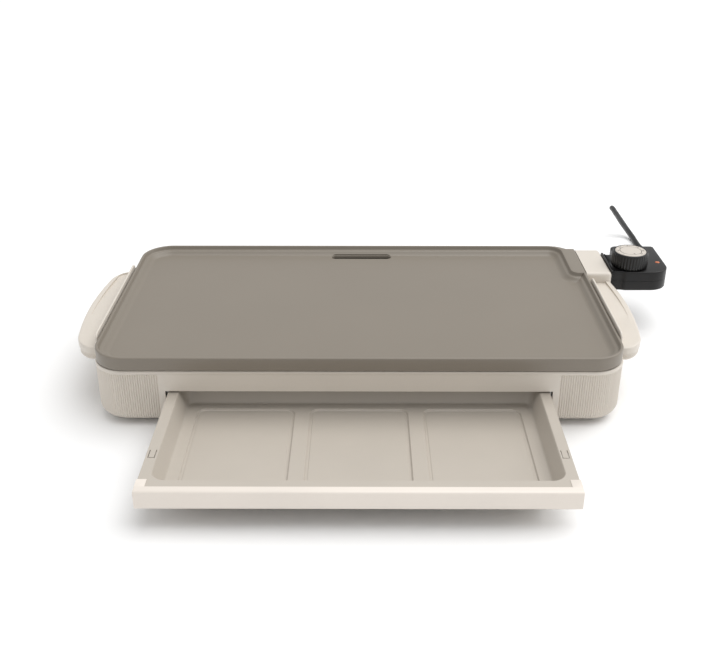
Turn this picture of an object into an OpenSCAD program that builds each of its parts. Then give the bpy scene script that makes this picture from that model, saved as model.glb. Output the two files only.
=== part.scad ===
// Electric griddle: a lift-off cast cooking plate on a moulded base with a
// warming drawer, a rear grease tray and a plug-in temperature probe.
// Millimetres, +Z up. The origin is the middle of the cooking surface, the base
// stands on the table below it, +X points to the probe's end and the drawer
// opens towards -Y.

/* [Cooking plate] */
// Width of the plate over its rim
plate_w = 585; // [560:1:720]
// Depth of the plate over its rim
plate_d = 328; // [310:1:400]
// Corner radius of the plate in plan
plate_r = 38; // [32:1:46]
// Height from the skirt's lower edge to the rim's top
skirt_h = 15.5; // [14:0.5:20]
// Depth of the cooking surface below the rim's top
pan_depth = 10; // [8:0.5:12]
// Thickness of the cast floor
floor_t = 4; // [3:0.5:5]
// Width of the flat top of the rim
rim_w = 3; // [2.5:0.5:6]
// Width of the sloped band between the rim and the cooking surface
rim_slope = 11.5; // [9:0.5:14]
// Length of the grease slot over its round ends
slot_l = 80; // [50:1:110]
// Width of the grease slot
slot_w = 11; // [8:0.5:14]

/* [Base] */
// Height of the moulded base, without its feet
base_h = 65; // [62:1:80]
// Wall of the moulded base
wall = 3; // [2.5:0.1:4]
// Radius of the rounded lower edge
edge_r = 13; // [10:0.5:16]
// How far the feet stand below the base
foot_h = 5; // [3:0.5:10]
// Diameter of a foot
foot_d = 18; // [14:1:24]
// Shadow gap between the base and the plate's skirt
plate_gap = 1.5; // [1:0.1:3]
// How far a handle ledge stands out at its middle
handle_out = 36; // [28:1:45]
// Length of a handle ledge
handle_l = 218; // [180:1:240]
// Height of the guard wall above the rim
guard_rise = 3.5; // [2:0.5:6]

/* [Drawer] */
// Width of the drawer's front panel
drawer_w = 421; // [380:1:440]
// Height of the front panel
panel_h = 19.7; // [17:0.1:24]
// Length of the drawer from its front to its rear end
drawer_l = 216.6; // [190:0.1:230]
// Depth of the tray from its rim to the ledge
tray_depth = 22; // [18:0.5:24]
// Width of the tray's rim
tray_rim = 11.5; // [9:0.5:14]
// How far the drawer is pulled out, on its stop
drawer_pull = 182.6; // [150:0.1:190]
// Gap at each side of the panel in its opening
bay_gap = 2.1; // [1.5:0.1:3]

/* [Grease tray] */
// Outer width of the grease tray
grease_w = 124; // [115:1:150]
// Length of the grease tray from front to back
grease_l = 60; // [50:1:64]

/* [Probe] */
// Length of the probe's body from its flange to its far end
probe_l = 75; // [70:1:90]
// Height of the probe's body
probe_h = 26; // [24:1:32]
// Diameter of the knob
knob_d = 47; // [38:1:48]
// Height of the knob
knob_h = 19.6; // [14:0.1:24]
// Radius of a terminal pin
pin_r = 3; // [2.5:0.1:3.5]
// Distance between the terminal pins
pin_gap = 28; // [26:1:30]
// Radius of the sensor rod
rod_r = 2.5; // [2:0.1:3]
// Diameter of the mains lead
cord_d = 8; // [6:0.5:9]

/* [Hidden] */
$fn = 72;
running = 0.05;
seat = 0.3;
sheet = 1;

base_x = plate_w / 2 + 1.5;
base_y = plate_d / 2 - 2;
base_r = plate_r - 1;
inner_x = base_x - base_r;
inner_y = base_y - base_r;
table = -(foot_h + base_h + plate_gap + skirt_h - pan_depth);
under = table + foot_h;
base_top = under + base_h;
rim_top = base_top + plate_gap + skirt_h;
pan_z = rim_top - pan_depth;
plate_under = pan_z - floor_t;
slot_x = 2;
slot_y = plate_d / 2 - rim_w - rim_slope - slot_w / 2 + 2;

lip_z = under + wall;
lip_in = base_r - edge_r - 12;
floor_plate_t = 2.5;
floor_top = lip_z + floor_plate_t;
edge_in = edge_r - wall;
edge_clear = edge_in - sqrt(pow(edge_in, 2) - pow(edge_in - floor_plate_t, 2)) + seat;

panel_top = base_top - 26.5;
bay_top = panel_top + 1.6;
tray_top = panel_top - 0.6;
tray_x = drawer_w / 2 - 1;
tray_t = 2;
pocket_drop = 2;
draft = 7;
ledge_z = tray_top - tray_depth;
tray_under = ledge_z - pocket_drop - tray_t;
front_y = -base_y - drawer_pull;
panel_t = 9.2;
tray_front = front_y + panel_t;
tray_back = front_y + drawer_l;
flange_t = 2.5;
bay_x = drawer_w / 2 + bay_gap;
bay_under = tray_under - 0.9;
rail_back = tray_back + drawer_pull + 6;
rail_x = tray_x + 1.2;
stop_x = tray_x - 5.5;
tab_l = 12;

reflector_z = bay_top + 7;
reflector_wall = 14;
reflector_r = base_r - wall - 4;
element_r = 3.5;
element_z = plate_under - seat - element_r;
post_x = inner_x - 2;
post_y = 60;
foot_x = inner_x - 12;
foot_y = inner_y - 13;

handle_top = base_top + 5;
handle_y = -7;
handle_r = 28;
ledge_t = 9;
scoop_depth = 3;
scoop_y0 = -50;
scoop_l = 150;
scoop_edge = 7;
cap_t = 7;
guard_top = rim_top + guard_rise;
guard_t = 2.3;

cover_y0 = 70;
cover_y1 = 153;
cover_x0 = plate_w / 2 + 1;
cover_x1 = cover_x0 + 33;
cover_z0 = base_top - 6;
cover_top = rim_top - 1;
cover_t = 2.5;
socket_y = 100;
pin_z = rim_top - 13;
rod_z = base_top - 1.5;
sleeve_r = pin_r + 1.2;

probe_x0 = cover_x1 + 2.6;
probe_x1 = probe_x0 + probe_l;
probe_top = rim_top - 2;
probe_under = probe_top - probe_h;
split_z = probe_under + probe_h / 2;
shell_t = 2.2;
probe_y0 = 76;
probe_y1 = 167.6;
neck_y1 = 137;
knob_x = probe_x0 + 26;
knob_y = 101;
knob_z = probe_top + 0.4;
shaft_r = 3;
dial_inset = 3.5;
lamp_x = probe_x1 - 9;
lamp_y = 110;
cord_x = probe_x1 - 10.1;
probe_screw_at = [[probe_x0 + 11, 128], [probe_x1 - 10, 135], [probe_x1 - 39, 158]];

grease_x0 = slot_x - grease_w / 2;
grease_y0 = base_y - grease_l;
grease_z0 = floor_top + 4.5;
grease_h = 22;
chute_z = grease_z0 + grease_h + 4;

// The lead's own route: out of the probe, back and down in a wide bend onto
// the table, and home again to the coil behind the base. Each step is how far
// to the right of the exit, how far behind it, and how far down to the table
// it is, in millimetres but the last in thousandths of the whole drop.
exit_y = probe_y1 + 24.4;
cord_z = probe_top - 13;
cord_lying = table + cord_d / 2;
cord_route = [
    [0, 0, 0], [0, 20, 0], [1, 43, 7], [2, 68, 29], [4, 98, 74], [6, 128, 118],
    [9, 158, 169], [11, 184, 206], [13, 208, 235], [15, 224, 287], [23, 237, 426],
    [33, 241, 618], [43, 237, 809], [50, 224, 949], [53, 208, 1000], [53, 185, 1000],
    [53, 161, 1000], [48, 136, 1000], [36, 114, 1000], [18, 99, 1000], [0, 92, 1000],
    [-18, 90, 1000], [-34, 86, 1000], [-46, 74, 1000], [-50, 58, 1000]
];
cord_points = [
    for (p = cord_route) [cord_x + p[0], exit_y + p[1], cord_z + (cord_lying - cord_z) * p[2] / 1000]
];
coil_x = cord_x - 94;
coil_y = exit_y + 58;
coil_r = 44;
coil_h = 26.4;
tail_route = [[0, 0, 22], [-14, 0, 21.5], [-30, -1, 18.5], [-46, -1, 13.5], [-62, 0, 10], [-76, 1, 9]];
tail_points = [for (p = tail_route) [coil_x + p[0], coil_y - coil_r + p[1], table + p[2]]];
plug_end = [coil_x - 76.6, coil_y - coil_r + 1, table + 9];
plug_l = 34;

// A rectangle in plan with one radius at its corners, centred.
module rounded(w, d, r) {
    square([w - 2 * r, d], center = true);
    square([w, d - 2 * r], center = true);
    for (sx = [-1, 1])
        for (sy = [-1, 1])
            translate([sx * (w / 2 - r), sy * (d / 2 - r)]) circle(r);
}

// A rectangle from one corner to the other, each corner with its own radius,
// in the order front left, front right, back right, back left.
module outline(x0, y0, x1, y1, radii) {
    corners = [[x0, y0, 1, 1], [x1, y0, -1, 1], [x1, y1, -1, -1], [x0, y1, 1, -1]];
    difference() {
        translate([x0, y0]) square([x1 - x0, y1 - y0]);
        for (k = [0:3])
            if (radii[k] > 0)
                translate([corners[k][0], corners[k][1]])
                    scale_corner(corners[k][2], corners[k][3], radii[k]);
    }
}

module scale_corner(sx, sy, r) {
    difference() {
        translate([sx * r / 2 - sx * 0.5, sy * r / 2 - sy * 0.5])
            square([r + 1, r + 1], center = true);
        translate([sx * r, sy * r]) circle(r);
    }
}

// Carries a cross-section once round a rounded rectangle whose corner centres
// are at (cx, cy). The section's x is the distance out from a corner centre.
module carry_round(cx, cy) {
    for (k = [0:3]) {
        sx = (k == 0 || k == 3) ? 1 : -1;
        sy = (k < 2) ? 1 : -1;
        translate([sx * cx, sy * cy, 0]) rotate([0, 0, 90 * k]) rotate_extrude(angle = 90) children();
    }
    for (s = [-1, 1]) {
        translate([s * cx, 0, 0]) rotate([0, 0, s > 0 ? 0 : 180]) rotate([90, 0, 0])
            linear_extrude(2 * cy, center = true) children();
        translate([0, s * cy, 0]) rotate([0, 0, s * 90]) rotate([90, 0, 0])
            linear_extrude(2 * cx, center = true) children();
    }
}

// The same with the middle filled, for a section that starts at x = 0.
module fill_round(cx, cy, z0, z1) {
    carry_round(cx, cy) children();
    translate([-cx, -cy, z0]) cube([2 * cx, 2 * cy, z1 - z0]);
}

module box(x0, x1, y0, y1, z0, z1) {
    translate([x0, y0, z0]) cube([x1 - x0, y1 - y0, z1 - z0]);
}

module rod_x(x0, x1, y, z, r) {
    translate([x0, y, z]) rotate([0, 90, 0]) cylinder(h = x1 - x0, r = r);
}

module rod_y(x, y0, y1, z, r) {
    translate([x, y0, z]) rotate([-90, 0, 0]) cylinder(h = y1 - y0, r = r);
}

// ---------------------------------------------------------------- base

// The wall's section: a straight wall, the rounded lower edge and the lip
// that carries the floor.
module base_section() {
    translate([base_r - wall, under + edge_r]) square([wall, base_h - edge_r]);
    intersection() {
        difference() {
            translate([base_r - edge_r, under + edge_r]) circle(edge_r);
            translate([base_r - edge_r, under + edge_r]) circle(edge_r - wall);
        }
        translate([base_r - edge_r, under]) square([edge_r, edge_r]);
    }
    translate([lip_in, under]) square([base_r - edge_r - lip_in, wall]);
}

// A handle's plan: a ledge whose long edge is a shallow arc. side is 1 or -1.
module handle_plan(side, inset) {
    reach = base_x + handle_out - inset;
    sag = 8;
    half = handle_l / 2;
    arc_r = (half * half * 0.68 + sag * sag) / (2 * sag);
    y0 = handle_y - half + inset;
    y1 = side > 0 ? cover_y0 - 0.1 : handle_y + half - inset;
    scale([side, 1]) difference() {
        intersection() {
            outline(base_x - 20, y0, reach + 1, y1, [0, handle_r, side > 0 ? 0 : handle_r, 0]);
            translate([reach - arc_r, handle_y]) circle(arc_r, $fn = 180);
        }
        translate([0, y0 - 50]) square([base_x - 1, y1 - y0 + 100]);
    }
}

// A scoop for the fingers in a ledge's top, which deepens towards the rear.
module finger_scoop(side) {
    translate([0, scoop_y0, handle_top]) rotate([-atan(scoop_depth / scoop_l), 0, 0])
        linear_extrude(2 * scoop_depth) translate([0, -scoop_y0]) intersection() {
            handle_plan(side, scoop_edge);
            scale([side, 1]) outline(base_x + guard_t + 2.5, scoop_y0, base_x + handle_out,
                scoop_y0 + scoop_l, [12, 12, 0, 0]);
        }
}

module guard_wall(side, y0, y1) {
    x = side > 0 ? base_x : -base_x - guard_t;
    z0 = handle_top - ledge_t;
    translate([x, 0, 0]) rotate([90, 0, 90]) linear_extrude(guard_t)
        outline(y0, z0, y1, guard_top, [0, 0, 8, 8]);
}

module drawer_opening() {
    translate([0, -base_y + wall * 2, (bay_under + bay_top) / 2]) rotate([90, 0, 0])
        linear_extrude(wall * 4) rounded(2 * bay_x, bay_top - bay_under, 2);
}

module base_shell() {
    color("#d3c9bc") difference() {
        union() {
            carry_round(inner_x, inner_y) base_section();
            translate([0, 0, handle_top - ledge_t]) linear_extrude(ledge_t) handle_plan(1, 0);
            translate([0, 0, handle_top - ledge_t]) linear_extrude(ledge_t) handle_plan(-1, 0);
            guard_wall(-1, -115, 92);
            guard_wall(1, -111, 50);
            box(base_x - 1, cover_x1 - 1, cover_y0 + 1, cover_y1 - 1, cover_z0 - 5, cover_z0);
        }
        drawer_opening();
        finger_scoop(1);
        finger_scoop(-1);
        box(grease_x0 - 2, grease_x0 + grease_w + 2, base_y - 10, base_y + 2,
            grease_z0 - 1.5, grease_z0 + grease_h + 3);
        box(base_x - 10, base_x + 0.5, cover_y0 - 0.1, cover_y1 + 0.1, cover_z0, base_top + 2);
        for (p = floor_screw_at()) translate([p[0], p[1], under - 1]) {
            cylinder(h = 10, r = 2.1);
            cylinder(h = 3.2, r = 4.2);
        }
        for (y = cover_screw_y()) translate([cover_x1 - 8, y, cover_z0 - 10]) cylinder(h = 20, r = 1.6);
    }
}

function floor_screw_at() = [
    for (sx = [-1, 1]) for (sy = [-1, 1]) [sx * (bay_x + 24), sy * (inner_y + lip_in + 6)],
    for (sx = [-1, 1]) [sx * (inner_x + lip_in + 6), 0]
];
function cover_screw_y() = [cover_y0 + 5.5, cover_y1 - 9];
function post_at() = [for (sx = [-1, 1]) for (sy = [-1, 1]) [sx * post_x, sy * post_y]];

module base_floor() {
    color("#b9b0a4") difference() {
        union() {
            translate([0, 0, lip_z]) linear_extrude(floor_plate_t)
                rounded(2 * (inner_x + lip_in + 10), 2 * (inner_y + lip_in + 10), lip_in + 10);
            for (p = floor_screw_at()) translate([p[0], p[1], floor_top - 1]) cylinder(h = 8, r = 4.5);
            for (p = post_at()) translate([p[0], p[1], floor_top - 1])
                cylinder(h = reflector_z - floor_top + 1, r = 7);
        }
        for (p = floor_screw_at()) translate([p[0], p[1], lip_z - 1]) cylinder(h = 8.5, r = 2.1);
        for (p = post_at()) translate([p[0], p[1], reflector_z - 12]) cylinder(h = 13, r = 2.1);
        for (p = foot_at()) translate([p[0], p[1], lip_z - 1]) cylinder(h = 5, r = 3.1);
    }
}

module handle_cap(side) {
    z1 = handle_top - ledge_t;
    color("#c9bfb1") difference() {
        translate([0, 0, z1 - cap_t]) linear_extrude(cap_t) difference() {
            handle_plan(side, 1.2);
            translate([side * base_x / 2, 0]) square([base_x + 0.6, 2 * base_y], center = true);
            if (side > 0) translate([base_x, cover_y0 - 1.5]) square([handle_out + 5, 60]);
        }
        for (y = [-88:11:66])
            if (side < 0 || y < 50)
                translate([side * (base_x + handle_out / 2), y, z1 - cap_t + 0.9])
                    cube([handle_out - 16, 7, 1.8 + 0.01], center = true);
    }
}

module left_handle_cap() { handle_cap(-1); }
module right_handle_cap() { handle_cap(1); }

module socket_cover() {
    color("#d8cec1") difference() {
        translate([0, 0, cover_z0]) linear_extrude(cover_top - cover_z0)
            outline(cover_x0, cover_y0, cover_x1, cover_y1, [2, 4, 4, 2]);
        translate([0, 0, cover_z0 - 1]) linear_extrude(cover_top - cover_t - cover_z0 + 1)
            outline(cover_x0 - 1, cover_y0 + cover_t, cover_x1 - cover_t, cover_y1 - cover_t,
                [0, 2, 2, 0]);
        for (s = [-1, 1])
            rod_x(cover_x1 - 10, cover_x1 + 5, socket_y + s * pin_gap / 2, pin_z, sleeve_r + 0.6);
        rod_x(cover_x1 - 10, cover_x1 + 5, socket_y, rod_z, rod_r + 0.6);
    }
    color("#d8cec1") for (y = cover_screw_y()) translate([cover_x1 - 8, y, cover_z0]) difference() {
        cylinder(h = cover_top - cover_t - cover_z0 + 0.5, r = 3.6);
        translate([0, 0, -1]) cylinder(h = 13, r = 1.6);
    }
}

// A rail's foot and web run its whole length. Its lower ledge and upper lip, which
// the drawer's rim slides between, start behind the closed drawer's panel.
module rail_web() {
    translate([rail_x, floor_top]) square([2, bay_top - seat - floor_top]);
    translate([rail_x, floor_top]) square([12, 1.5]);
}

module rail_ledges() {
    lower = tray_top - flange_t - 0.2;
    translate([tray_x - 6, lower - 2.2]) square([rail_x - tray_x + 7, 2.2]);
    translate([tray_x - 3, panel_top + 0.2]) square([rail_x - tray_x + 4, 1.1]);
}

module rail(side) {
    y0 = -base_y + wall + edge_clear;
    ledge_y0 = -base_y + panel_t + seat;
    color("#a9a9a7") scale([side, 1, 1]) difference() {
        union() {
            translate([0, rail_back, 0]) rotate([90, 0, 0]) linear_extrude(rail_back - y0) rail_web();
            translate([0, rail_back, 0]) rotate([90, 0, 0]) linear_extrude(rail_back - ledge_y0)
                rail_ledges();
            box(stop_x, tray_x + 2, ledge_y0, ledge_y0 + 3, ledge_z + 8, tray_top - flange_t - 1);
        }
        for (y = rail_screw_y()) translate([tray_x + 9, y, floor_top - 1]) cylinder(h = 4, r = 1.6);
    }
}

function rail_screw_y() = [-base_y + 40, rail_back - 20];

module left_drawer_rail() { mirror([1, 0, 0]) rail(1); }
module right_drawer_rail() { rail(1); }

module rail_screws() {
    color("#9c9c98") for (sx = [-1, 1]) for (y = rail_screw_y())
        translate([sx * (tray_x + 9), y, floor_top + 1.5]) {
            cylinder(h = 1.8, r = 2.8);
            translate([0, 0, -1.5]) cylinder(h = 2, r = 1.5);
        }
}

module grease_guides() {
    color("#a9a9a7") for (s = [-1, 1]) {
        x = slot_x + s * (grease_w / 2 + 0.6);
        box(min(x, x + s * 2), max(x, x + s * 2), grease_y0 + 4, base_y - wall - edge_clear,
            floor_top, grease_z0 + 12);
        box(min(x, x - s * 8), max(x, x - s * 8), grease_y0 + 4, base_y - wall - edge_clear,
            floor_top, grease_z0 - 0.2);
    }
}

module grease_chute() {
    w = slot_l + 12;
    y0 = slot_y - slot_w / 2 - 3;
    y1 = base_y - wall - 0.5;
    color("#bdbdb9") difference() {
        union() {
            box(slot_x - w / 2, slot_x + w / 2, y0, y1, chute_z, plate_under - seat);
            box(slot_x - w / 2 - 6, slot_x + w / 2 + 6, y0 - 6, inner_y + reflector_r - sheet - seat,
                reflector_z + sheet, reflector_z + 2 * sheet);
        }
        box(slot_x - w / 2 + 1.5, slot_x + w / 2 - 1.5, y0 + 1.5, y1 - 1.5, chute_z - 1, rim_top);
    }
}

// ------------------------------------------------------ heat and terminals

module heat_reflector() {
    color("#c4c6c8") difference() {
        fill_round(inner_x, inner_y, reflector_z, reflector_z + sheet) {
            translate([0, reflector_z]) square([reflector_r, sheet]);
            translate([reflector_r - sheet, reflector_z]) square([sheet, reflector_wall]);
        }
        for (p = post_at()) translate([p[0], p[1], table]) cylinder(h = 100, r = 2.1);
        w = slot_l + 13;
        box(slot_x - w / 2, slot_x + w / 2, slot_y - slot_w / 2 - 3.5, base_y, table, rim_top);
        box(inner_x, base_x, socket_y - 25, socket_y + 25, reflector_z + sheet + 2, rim_top);
    }
}

// A tube along straight legs that turn a right angle at each point.
function unit(v) = v / norm(v);

module bent_tube(points, bend, r) {
    n = len(points);
    for (k = [1:n - 1]) {
        a = points[k - 1];
        b = points[k];
        d = unit(b - a);
        p = k == 1 ? a : a + d * bend;
        q = k == n - 1 ? b : b - d * bend;
        translate([p[0], p[1], 0]) rotate([0, 0, atan2(d[1], d[0])]) rotate([0, 90, 0])
            cylinder(h = norm(q - p), r = r);
    }
    for (k = [1:n - 2]) {
        d0 = unit(points[k] - points[k - 1]);
        d1 = unit(points[k + 1] - points[k]);
        centre = points[k] - d0 * bend + d1 * bend;
        turn = d0[0] * d1[1] - d0[1] * d1[0];
        from = turn > 0 ? atan2(-d1[1], -d1[0]) : atan2(d0[1], d0[0]);
        translate([centre[0], centre[1], 0]) rotate([0, 0, from]) rotate_extrude(angle = 90)
            translate([bend, 0]) circle(r);
    }
}

element_x = inner_x - 15;
element_far = inner_y - 14;
element_path = [
    [base_x - 7, socket_y + pin_gap / 2],
    [-element_x, socket_y + pin_gap / 2],
    [-element_x, -element_far],
    [element_x, -element_far],
    [element_x, -40],
    [-element_x + 70, -40],
    [-element_x + 70, 30],
    [element_x - 20, 30],
    [element_x - 20, socket_y - pin_gap / 2],
    [base_x - 7, socket_y - pin_gap / 2]
];

module heating_element() {
    color("#6d6a66") translate([0, 0, element_z]) bent_tube(element_path, 22, element_r);
}

module element_brackets() {
    spots = [
        [-element_x, 0, 0], [-150, -element_far, 90], [150, -element_far, 90], [-60, -40, 90],
        [60, 30, 90], [-60, socket_y + pin_gap / 2, 90], [110, socket_y + pin_gap / 2, 90]
    ];
    top = element_z - element_r;
    color("#b4b6b8") for (s = spots) translate([s[0], s[1], 0]) rotate([0, 0, s[2]]) {
        box(-9, 9, -5, 5, reflector_z + sheet, reflector_z + 2 * sheet);
        box(-1, 1, -5, 5, reflector_z + sheet, top - 0.2);
        box(-6, 6, -5, 5, top - 1.2, top - 0.2);
    }
}

module terminal_block() {
    x0 = base_x - 7;
    color("#e6e2d8") difference() {
        box(x0, x0 + 14, socket_y - 23, socket_y + 23, cover_z0 + 0.2, pin_z + sleeve_r + 1);
        box(x0 - 1, cover_x0 + 0.6, socket_y - 30, socket_y + 30, base_top + 0.9, 200);
        rod_x(x0 - 5, x0 + 30, socket_y, rod_z, rod_r + 0.5);
    }
}

module terminal_pins() {
    x0 = base_x + 7;
    color("#c9c7c0") for (s = [-1, 1]) {
        rod_x(x0, cover_x1 - cover_t - 2, socket_y + s * pin_gap / 2, pin_z, pin_r);
    }
}

module plate_pads() {
    color("#4a4745") for (sx = [-1, 1]) for (y = [-inner_y + 20, 0])
        translate([sx * (post_x + 3), y, reflector_z + sheet])
            cylinder(h = plate_under - reflector_z - sheet, r = 6);
    color("#4a4745") for (x = [-200, 200]) translate([x, element_far + 16, reflector_z + sheet])
        cylinder(h = plate_under - reflector_z - sheet, r = 6);
}

function foot_at() = [for (sx = [-1, 1]) for (sy = [-1, 1]) [sx * foot_x, sy * foot_y]];

module feet() {
    color("#3a3836") for (p = foot_at()) translate([p[0], p[1], table]) {
        cylinder(h = lip_z - table, r = foot_d / 2);
        cylinder(h = floor_top + 1.5 - table, r = 3);
        translate([0, 0, floor_top - table]) cylinder(h = 1.5, r = 4.4);
    }
}

module floor_screws() {
    color("#9c9c98") for (p = floor_screw_at()) translate([p[0], p[1], under + 0.2]) {
        cylinder(h = 2, r = 3.8);
        cylinder(h = 10, r = 2);
    }
}

module reflector_screws() {
    color("#9c9c98") for (p = post_at()) translate([p[0], p[1], reflector_z + sheet]) {
        cylinder(h = 2, r = 3.8);
        translate([0, 0, -11]) cylinder(h = 11.5, r = 2);
    }
}

module cover_screws() {
    color("#9c9c98") for (y = cover_screw_y()) translate([cover_x1 - 8, y, cover_z0 - 5]) {
        translate([0, 0, -1.8]) cylinder(h = 1.8, r = 3);
        translate([0, 0, -0.5]) cylinder(h = 15, r = 1.5);
    }
}

// ---------------------------------------------------------------- plate

module cooking_plate() {
    r = plate_r;
    cx = plate_w / 2 - r;
    cy = plate_d / 2 - r;
    z0 = base_top + plate_gap;
    skirt_t = 4;
    tab_w = 18;
    tab_y0 = 70;
    lip_t = 5;
    color("#90887d") difference() {
        union() {
            fill_round(cx, cy, plate_under, pan_z) {
                polygon([
                    [0, plate_under], [r - skirt_t, plate_under], [r - skirt_t, z0], [r, z0],
                    [r, rim_top - 1.5], [r - 1.5, rim_top], [r - rim_w, rim_top],
                    [r - rim_w - 1.9, rim_top - 4.5], [r - rim_w - 5, rim_top - 5.4],
                    [r - rim_w - rim_slope, pan_z], [0, pan_z]
                ]);
            }
            intersection() {
                translate([0, 0, plate_under]) linear_extrude(rim_top - plate_under)
                    rounded(plate_w, plate_d, r);
                translate([0, 0, plate_under]) linear_extrude(rim_top - plate_under)
                    outline(plate_w / 2 - tab_w, tab_y0, plate_w / 2 + 1, plate_d / 2 - rim_w, [9, 0, 0, 0]);
            }
            translate([0, 0, rim_top - lip_t]) linear_extrude(lip_t)
                outline(plate_w / 2 - tab_w, tab_y0 + 10, plate_w / 2, cover_y1, [0, 0, 1.5, 0]);
        }
        translate([slot_x, slot_y, table]) linear_extrude(200) rounded(slot_l, slot_w, slot_w / 2 - 0.01);
    }
}

// --------------------------------------------------------------- drawer

module drawer_tray() {
    half_l = (tray_back - tray_front) / 2;
    mid_y = (tray_back + tray_front) / 2;
    cr = tray_rim + 14.5;
    cx = tray_x - cr;
    cy = half_l - cr;
    in_r = cr - tray_rim;
    low_r = in_r - draft;
    out_r = in_r + flange_t;
    pocket_w = (2 * (tray_x - tray_rim - draft - 13) - 2 * 16.7) / 3;
    pocket_y0 = tray_front + tray_rim + draft + 13;
    pocket_y1 = tray_back - tray_rim - draft - 13;
    color("#c8beb1") difference() {
        union() {
            translate([0, mid_y, tray_top - flange_t]) linear_extrude(flange_t)
                outline(-tray_x, -half_l, tray_x, half_l, [1, 1, 6, 6]);
            translate([0, mid_y, 0]) fill_round(cx, cy, tray_under, tray_top - 1)
                polygon([
                    [0, tray_under], [out_r - draft, tray_under], [out_r, tray_top - 1], [0, tray_top - 1]
                ]);
            box(-stop_x + 0.7, stop_x - 0.7, tray_front, tray_front + 2.4, panel_top - panel_h + 1.5,
                tray_top - 1);
            for (s = [-1, 1])
                box(min(s * (tray_x - 13), s * (tray_x - 2)), max(s * (tray_x - 13), s * (tray_x - 2)),
                    tray_back - 20, tray_back - 16, ledge_z + 9, tray_top - 5.2);
        }
        translate([0, mid_y, 0]) fill_round(cx, cy, ledge_z, tray_top + 1)
            polygon([
                [0, ledge_z], [low_r, ledge_z], [in_r, tray_top], [in_r, tray_top + 1], [0, tray_top + 1]
            ]);
        for (k = [-1:1])
            translate([0, 0, ledge_z - pocket_drop]) linear_extrude(pocket_drop + 1)
                outline(k * (pocket_w + 16.7) - pocket_w / 2, pocket_y0, k * (pocket_w + 16.7) + pocket_w / 2,
                    pocket_y1, [10, 10, 10, 10]);
        for (s = [-1, 1]) for (dx = [-3.2, 3.2])
            translate([s * (tray_x - 5.8) + dx, tray_front + 55, tray_top]) cube([0.9, 14, 8], center = true);
        for (s = [-1, 1])
            translate([s * (tray_x - 5.8), tray_front + 48.4, tray_top]) cube([7.3, 0.9, 8], center = true);
        for (x = drawer_screw_x()) rod_y(x, tray_front - 1, tray_front + 5, panel_top - 12, 1.6);
    }
}

function drawer_screw_x() = [-150, 0, 150];

module drawer_front() {
    half = drawer_w / 2;
    z0 = panel_top - panel_h;
    y1 = front_y + panel_t - 0.1;
    color("#e0d7cb") difference() {
        union() {
            translate([-half, 0, 0]) rotate([90, 0, 90]) linear_extrude(drawer_w)
                polygon([
                    [front_y, z0 + 2], [front_y + 2, z0], [y1, z0], [y1, panel_top],
                    [front_y + 3, panel_top], [front_y, panel_top - 2.5]
                ]);
            for (s = [-1, 1]) {
                box(min(s * half, s * (half - 10)), max(s * half, s * (half - 10)),
                    y1 - 0.1, y1 + tab_l, tray_top + 0.05, panel_top);
                box(min(s * half, s * (half - 0.9)), max(s * half, s * (half - 0.9)),
                    y1 - 0.1, y1 + tab_l, tray_top - flange_t + 0.1, panel_top);
            }
        }
        for (x = drawer_screw_x()) rod_y(x, front_y + 3.5, y1 + 1, panel_top - 12, 1.55);
    }
}

module drawer_screws() {
    color("#9c9c98") for (x = drawer_screw_x()) {
        rod_y(x, front_y + 4, tray_front + 2.5, panel_top - 12, 1.5);
        rod_y(x, tray_front + 2.4, tray_front + 4.2, panel_top - 12, 2.8);
    }
}

// ---------------------------------------------------------- grease tray

module grease_tray() {
    x0 = grease_x0;
    x1 = grease_x0 + grease_w;
    color("#cdc3b6") difference() {
        union() {
            translate([0, 0, grease_z0]) linear_extrude(grease_h)
                outline(x0, grease_y0, x1, base_y - 1, [6, 6, 0, 0]);
            box(x0 - 1, x1 + 1, base_y - 2.5, base_y, grease_z0 - 0.8, grease_z0 + grease_h + 2);
        }
        translate([0, 0, grease_z0 + 2]) linear_extrude(grease_h)
            outline(x0 + 2, grease_y0 + 2, x1 - 2, base_y - 2.6, [4, 4, 2, 2]);
        box(slot_x - 20, slot_x + 20, base_y - 1.2, base_y + 1, grease_z0 + 6, grease_z0 + 14);
    }
}

// ---------------------------------------------------------------- probe

module probe_plan(inset) {
    r = max(10 - inset, 1);
    outline(probe_x0 + inset, probe_y0 + 2 + inset, probe_x0 + 30, neck_y1 - inset, [1, 0, 0, 1]);
    outline(probe_x0 + 15 + inset, probe_y0 + inset, probe_x1 - inset, probe_y1 - inset,
        [r, max(24 - inset, 1), max(4 - inset, 1), r]);
}

// The openings that both half shells share: contacts, rod and lead.
module probe_ports() {
    for (s = [-1, 1])
        rod_x(probe_x0 - 5, probe_x0 + 6, socket_y + s * pin_gap / 2, pin_z, sleeve_r + 0.3);
    rod_x(probe_x0 - 5, probe_x0 + 6, socket_y, rod_z, rod_r + 0.3);
    rod_y(cord_x, probe_y1 - 6, probe_y1 + 5, cord_z, 5.6);
}

module probe_lower_shell() {
    color("#1d1c1c") difference() {
        union() {
            difference() {
                translate([0, 0, probe_under]) linear_extrude(split_z - probe_under) probe_plan(0);
                translate([0, 0, probe_under + shell_t]) linear_extrude(probe_h) probe_plan(shell_t);
            }
            for (p = probe_screw_at) translate([p[0], p[1], probe_under + 0.5])
                cylinder(h = split_z - probe_under - 0.5, r = 4.2);
        }
        for (p = probe_screw_at) translate([p[0], p[1], probe_under - 1]) {
            cylinder(h = 50, r = 1.8);
            cylinder(h = 3.6, r = 3.3);
        }
        probe_ports();
    }
}

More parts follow.
